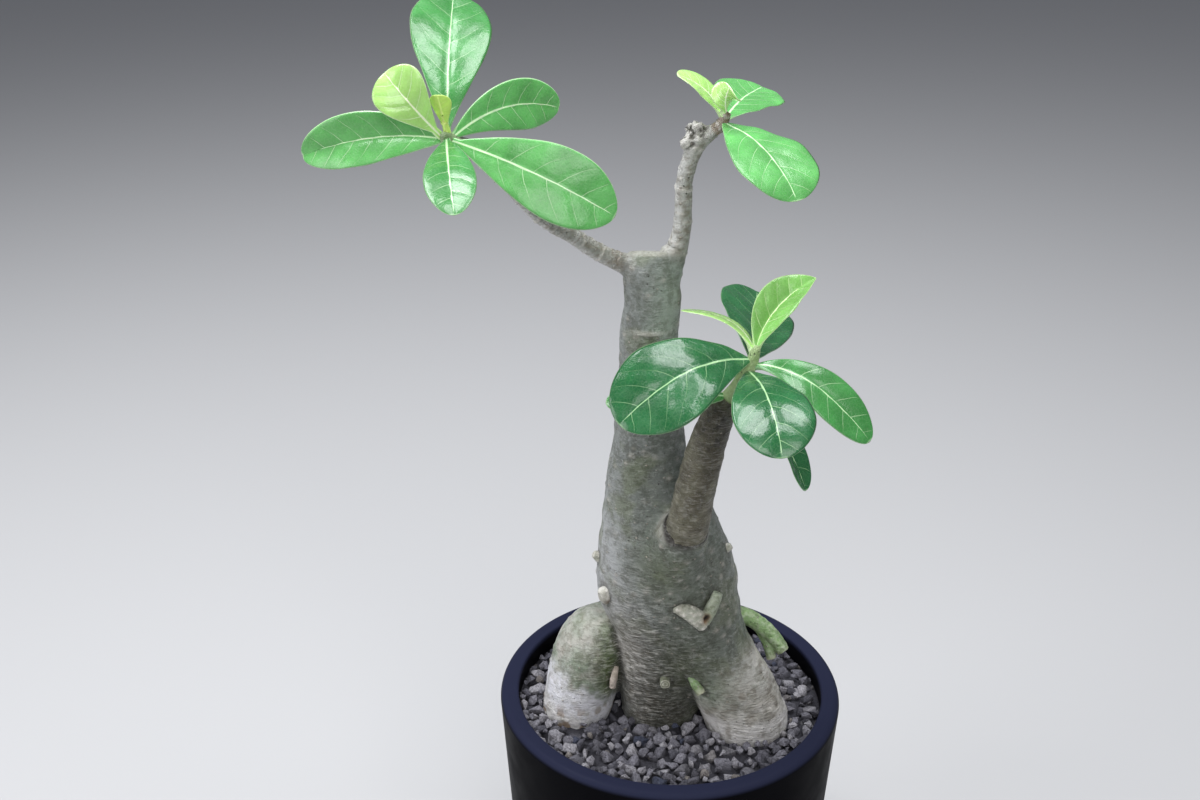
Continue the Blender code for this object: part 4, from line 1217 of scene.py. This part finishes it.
def gravel_bed(material):
    """Ridged layer under the grains, down to the mix."""
    reach, ridges, foot = wall_inside(MIX_TOP) - 0.3, 30, MIX_TOP + 0.3
    profile = [(0.0, GRAVEL_BED_TOP)]
    profile += [(reach * i / ridges, GRAVEL_BED_TOP - 0.6 * (i % 2)) for i in range(1, ridges + 1)]
    profile += [(reach, foot), (0.0, foot)]
    bed = turned("gravel_bed", profile, material, 96)
    # Tone 0 is the darkest grain colour, and with no lift attribute the stone material also paints the bed
    # near black: painted shade under the grains.
    put_attribute(bed.data, "tone", np.full(len(bed.data.vertices), 0.0))
    return bed


def make_gravel(tree):
    picker = np.random.default_rng(42)
    fine = stone_shapes(40, 1, picker)
    coarse = stone_shapes(24, 2, picker)
    places = [(place, fine if place[3] < 2.5 else coarse) for place in place_stones(tree, picker)]
    places += [(place, fine) for place in filler_places(picker)]
    mesh = grain_mesh(places, picker)
    material = stone_material()
    grains = new_object("lava_grains", mesh, material)
    for piece in (grains, gravel_bed(material)):
        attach(piece, "root")
        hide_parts("gravel_dressing")


# ---- studio ----

CAMERA_PLACE = (-0.0247, -0.4098, 0.4144)
CAMERA_PITCH = 25.0
CAMERA_LENS = 42.0
LIGHT_TARGET = Vector((0, 0, 0.2))
# Lights: name, place, width and height, power, colour.
LIGHTS = [
    ("overhead_left", (-0.38, 0.14, 1.12), (0.6, 0.42), 9, (0.97, 0.985, 1.0)),
    ("overhead_right", (0.22, 0.0, 1.2), (0.6, 0.42), 7, (0.97, 0.985, 1.0)),
    ("front", (0.2, -1.0, 0.9), (0.9, 0.7), 7, (1.0, 0.99, 0.97)),
    ("left", (-1.0, -0.4, 0.5), (0.5, 0.8), 4.6, (1, 1, 1))]


def area_light(name, place, size, power, colour):
    light = bpy.data.lights.new(name, "AREA")
    light.shape = "RECTANGLE"
    light.size, light.size_y = size
    light.energy = power
    light.color = colour
    lamp = new_object(name, light)
    lamp.location = place
    lamp.rotation_euler = (LIGHT_TARGET - Vector(place)).to_track_quat("-Z", "Y").to_euler()


def make_studio():
    camera = bpy.data.cameras.new("camera")
    camera.lens = CAMERA_LENS
    camera.sensor_width = 36.0
    camera.clip_start = 0.01
    view = new_object("camera", camera)
    view.location = CAMERA_PLACE
    view.rotation_euler = (math.radians(90 - CAMERA_PITCH), 0, 0)
    bpy.context.scene.camera = view
    bpy.context.scene.view_settings.view_transform = "Standard"
    world = bpy.data.worlds.new("studio")
    world.use_nodes = True
    sky = world.node_tree.nodes["Background"].inputs
    sky["Color"].default_value = (0.86, 0.9, 1.0, 1)
    sky["Strength"].default_value = 0.20
    bpy.context.scene.world = world
    for light in LIGHTS:
        area_light(*light)
    work = bmesh.new()
    bmesh.ops.create_grid(work, x_segments=2, y_segments=2, size=6.0)
    material = Shader("pale_floor", 0.75).finish((0.52, 0.52, 0.53))
    floor = new_object("floor", mesh_from(work, "floor"), material)


def main():
    make_studio()
    make_pot()
    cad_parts["potting_mix"].data.materials.clear()
    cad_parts["potting_mix"].data.materials.append(soil_material())
    tree = make_wood()
    make_stubs()
    make_side_stem()
    materials = {tone: leaf_material(tone) for tone in LEAF_TONES}
    for seed, name in enumerate(LEAVES):
        make_leaf(name, seed + 1, materials)
    make_gravel(tree)


main()
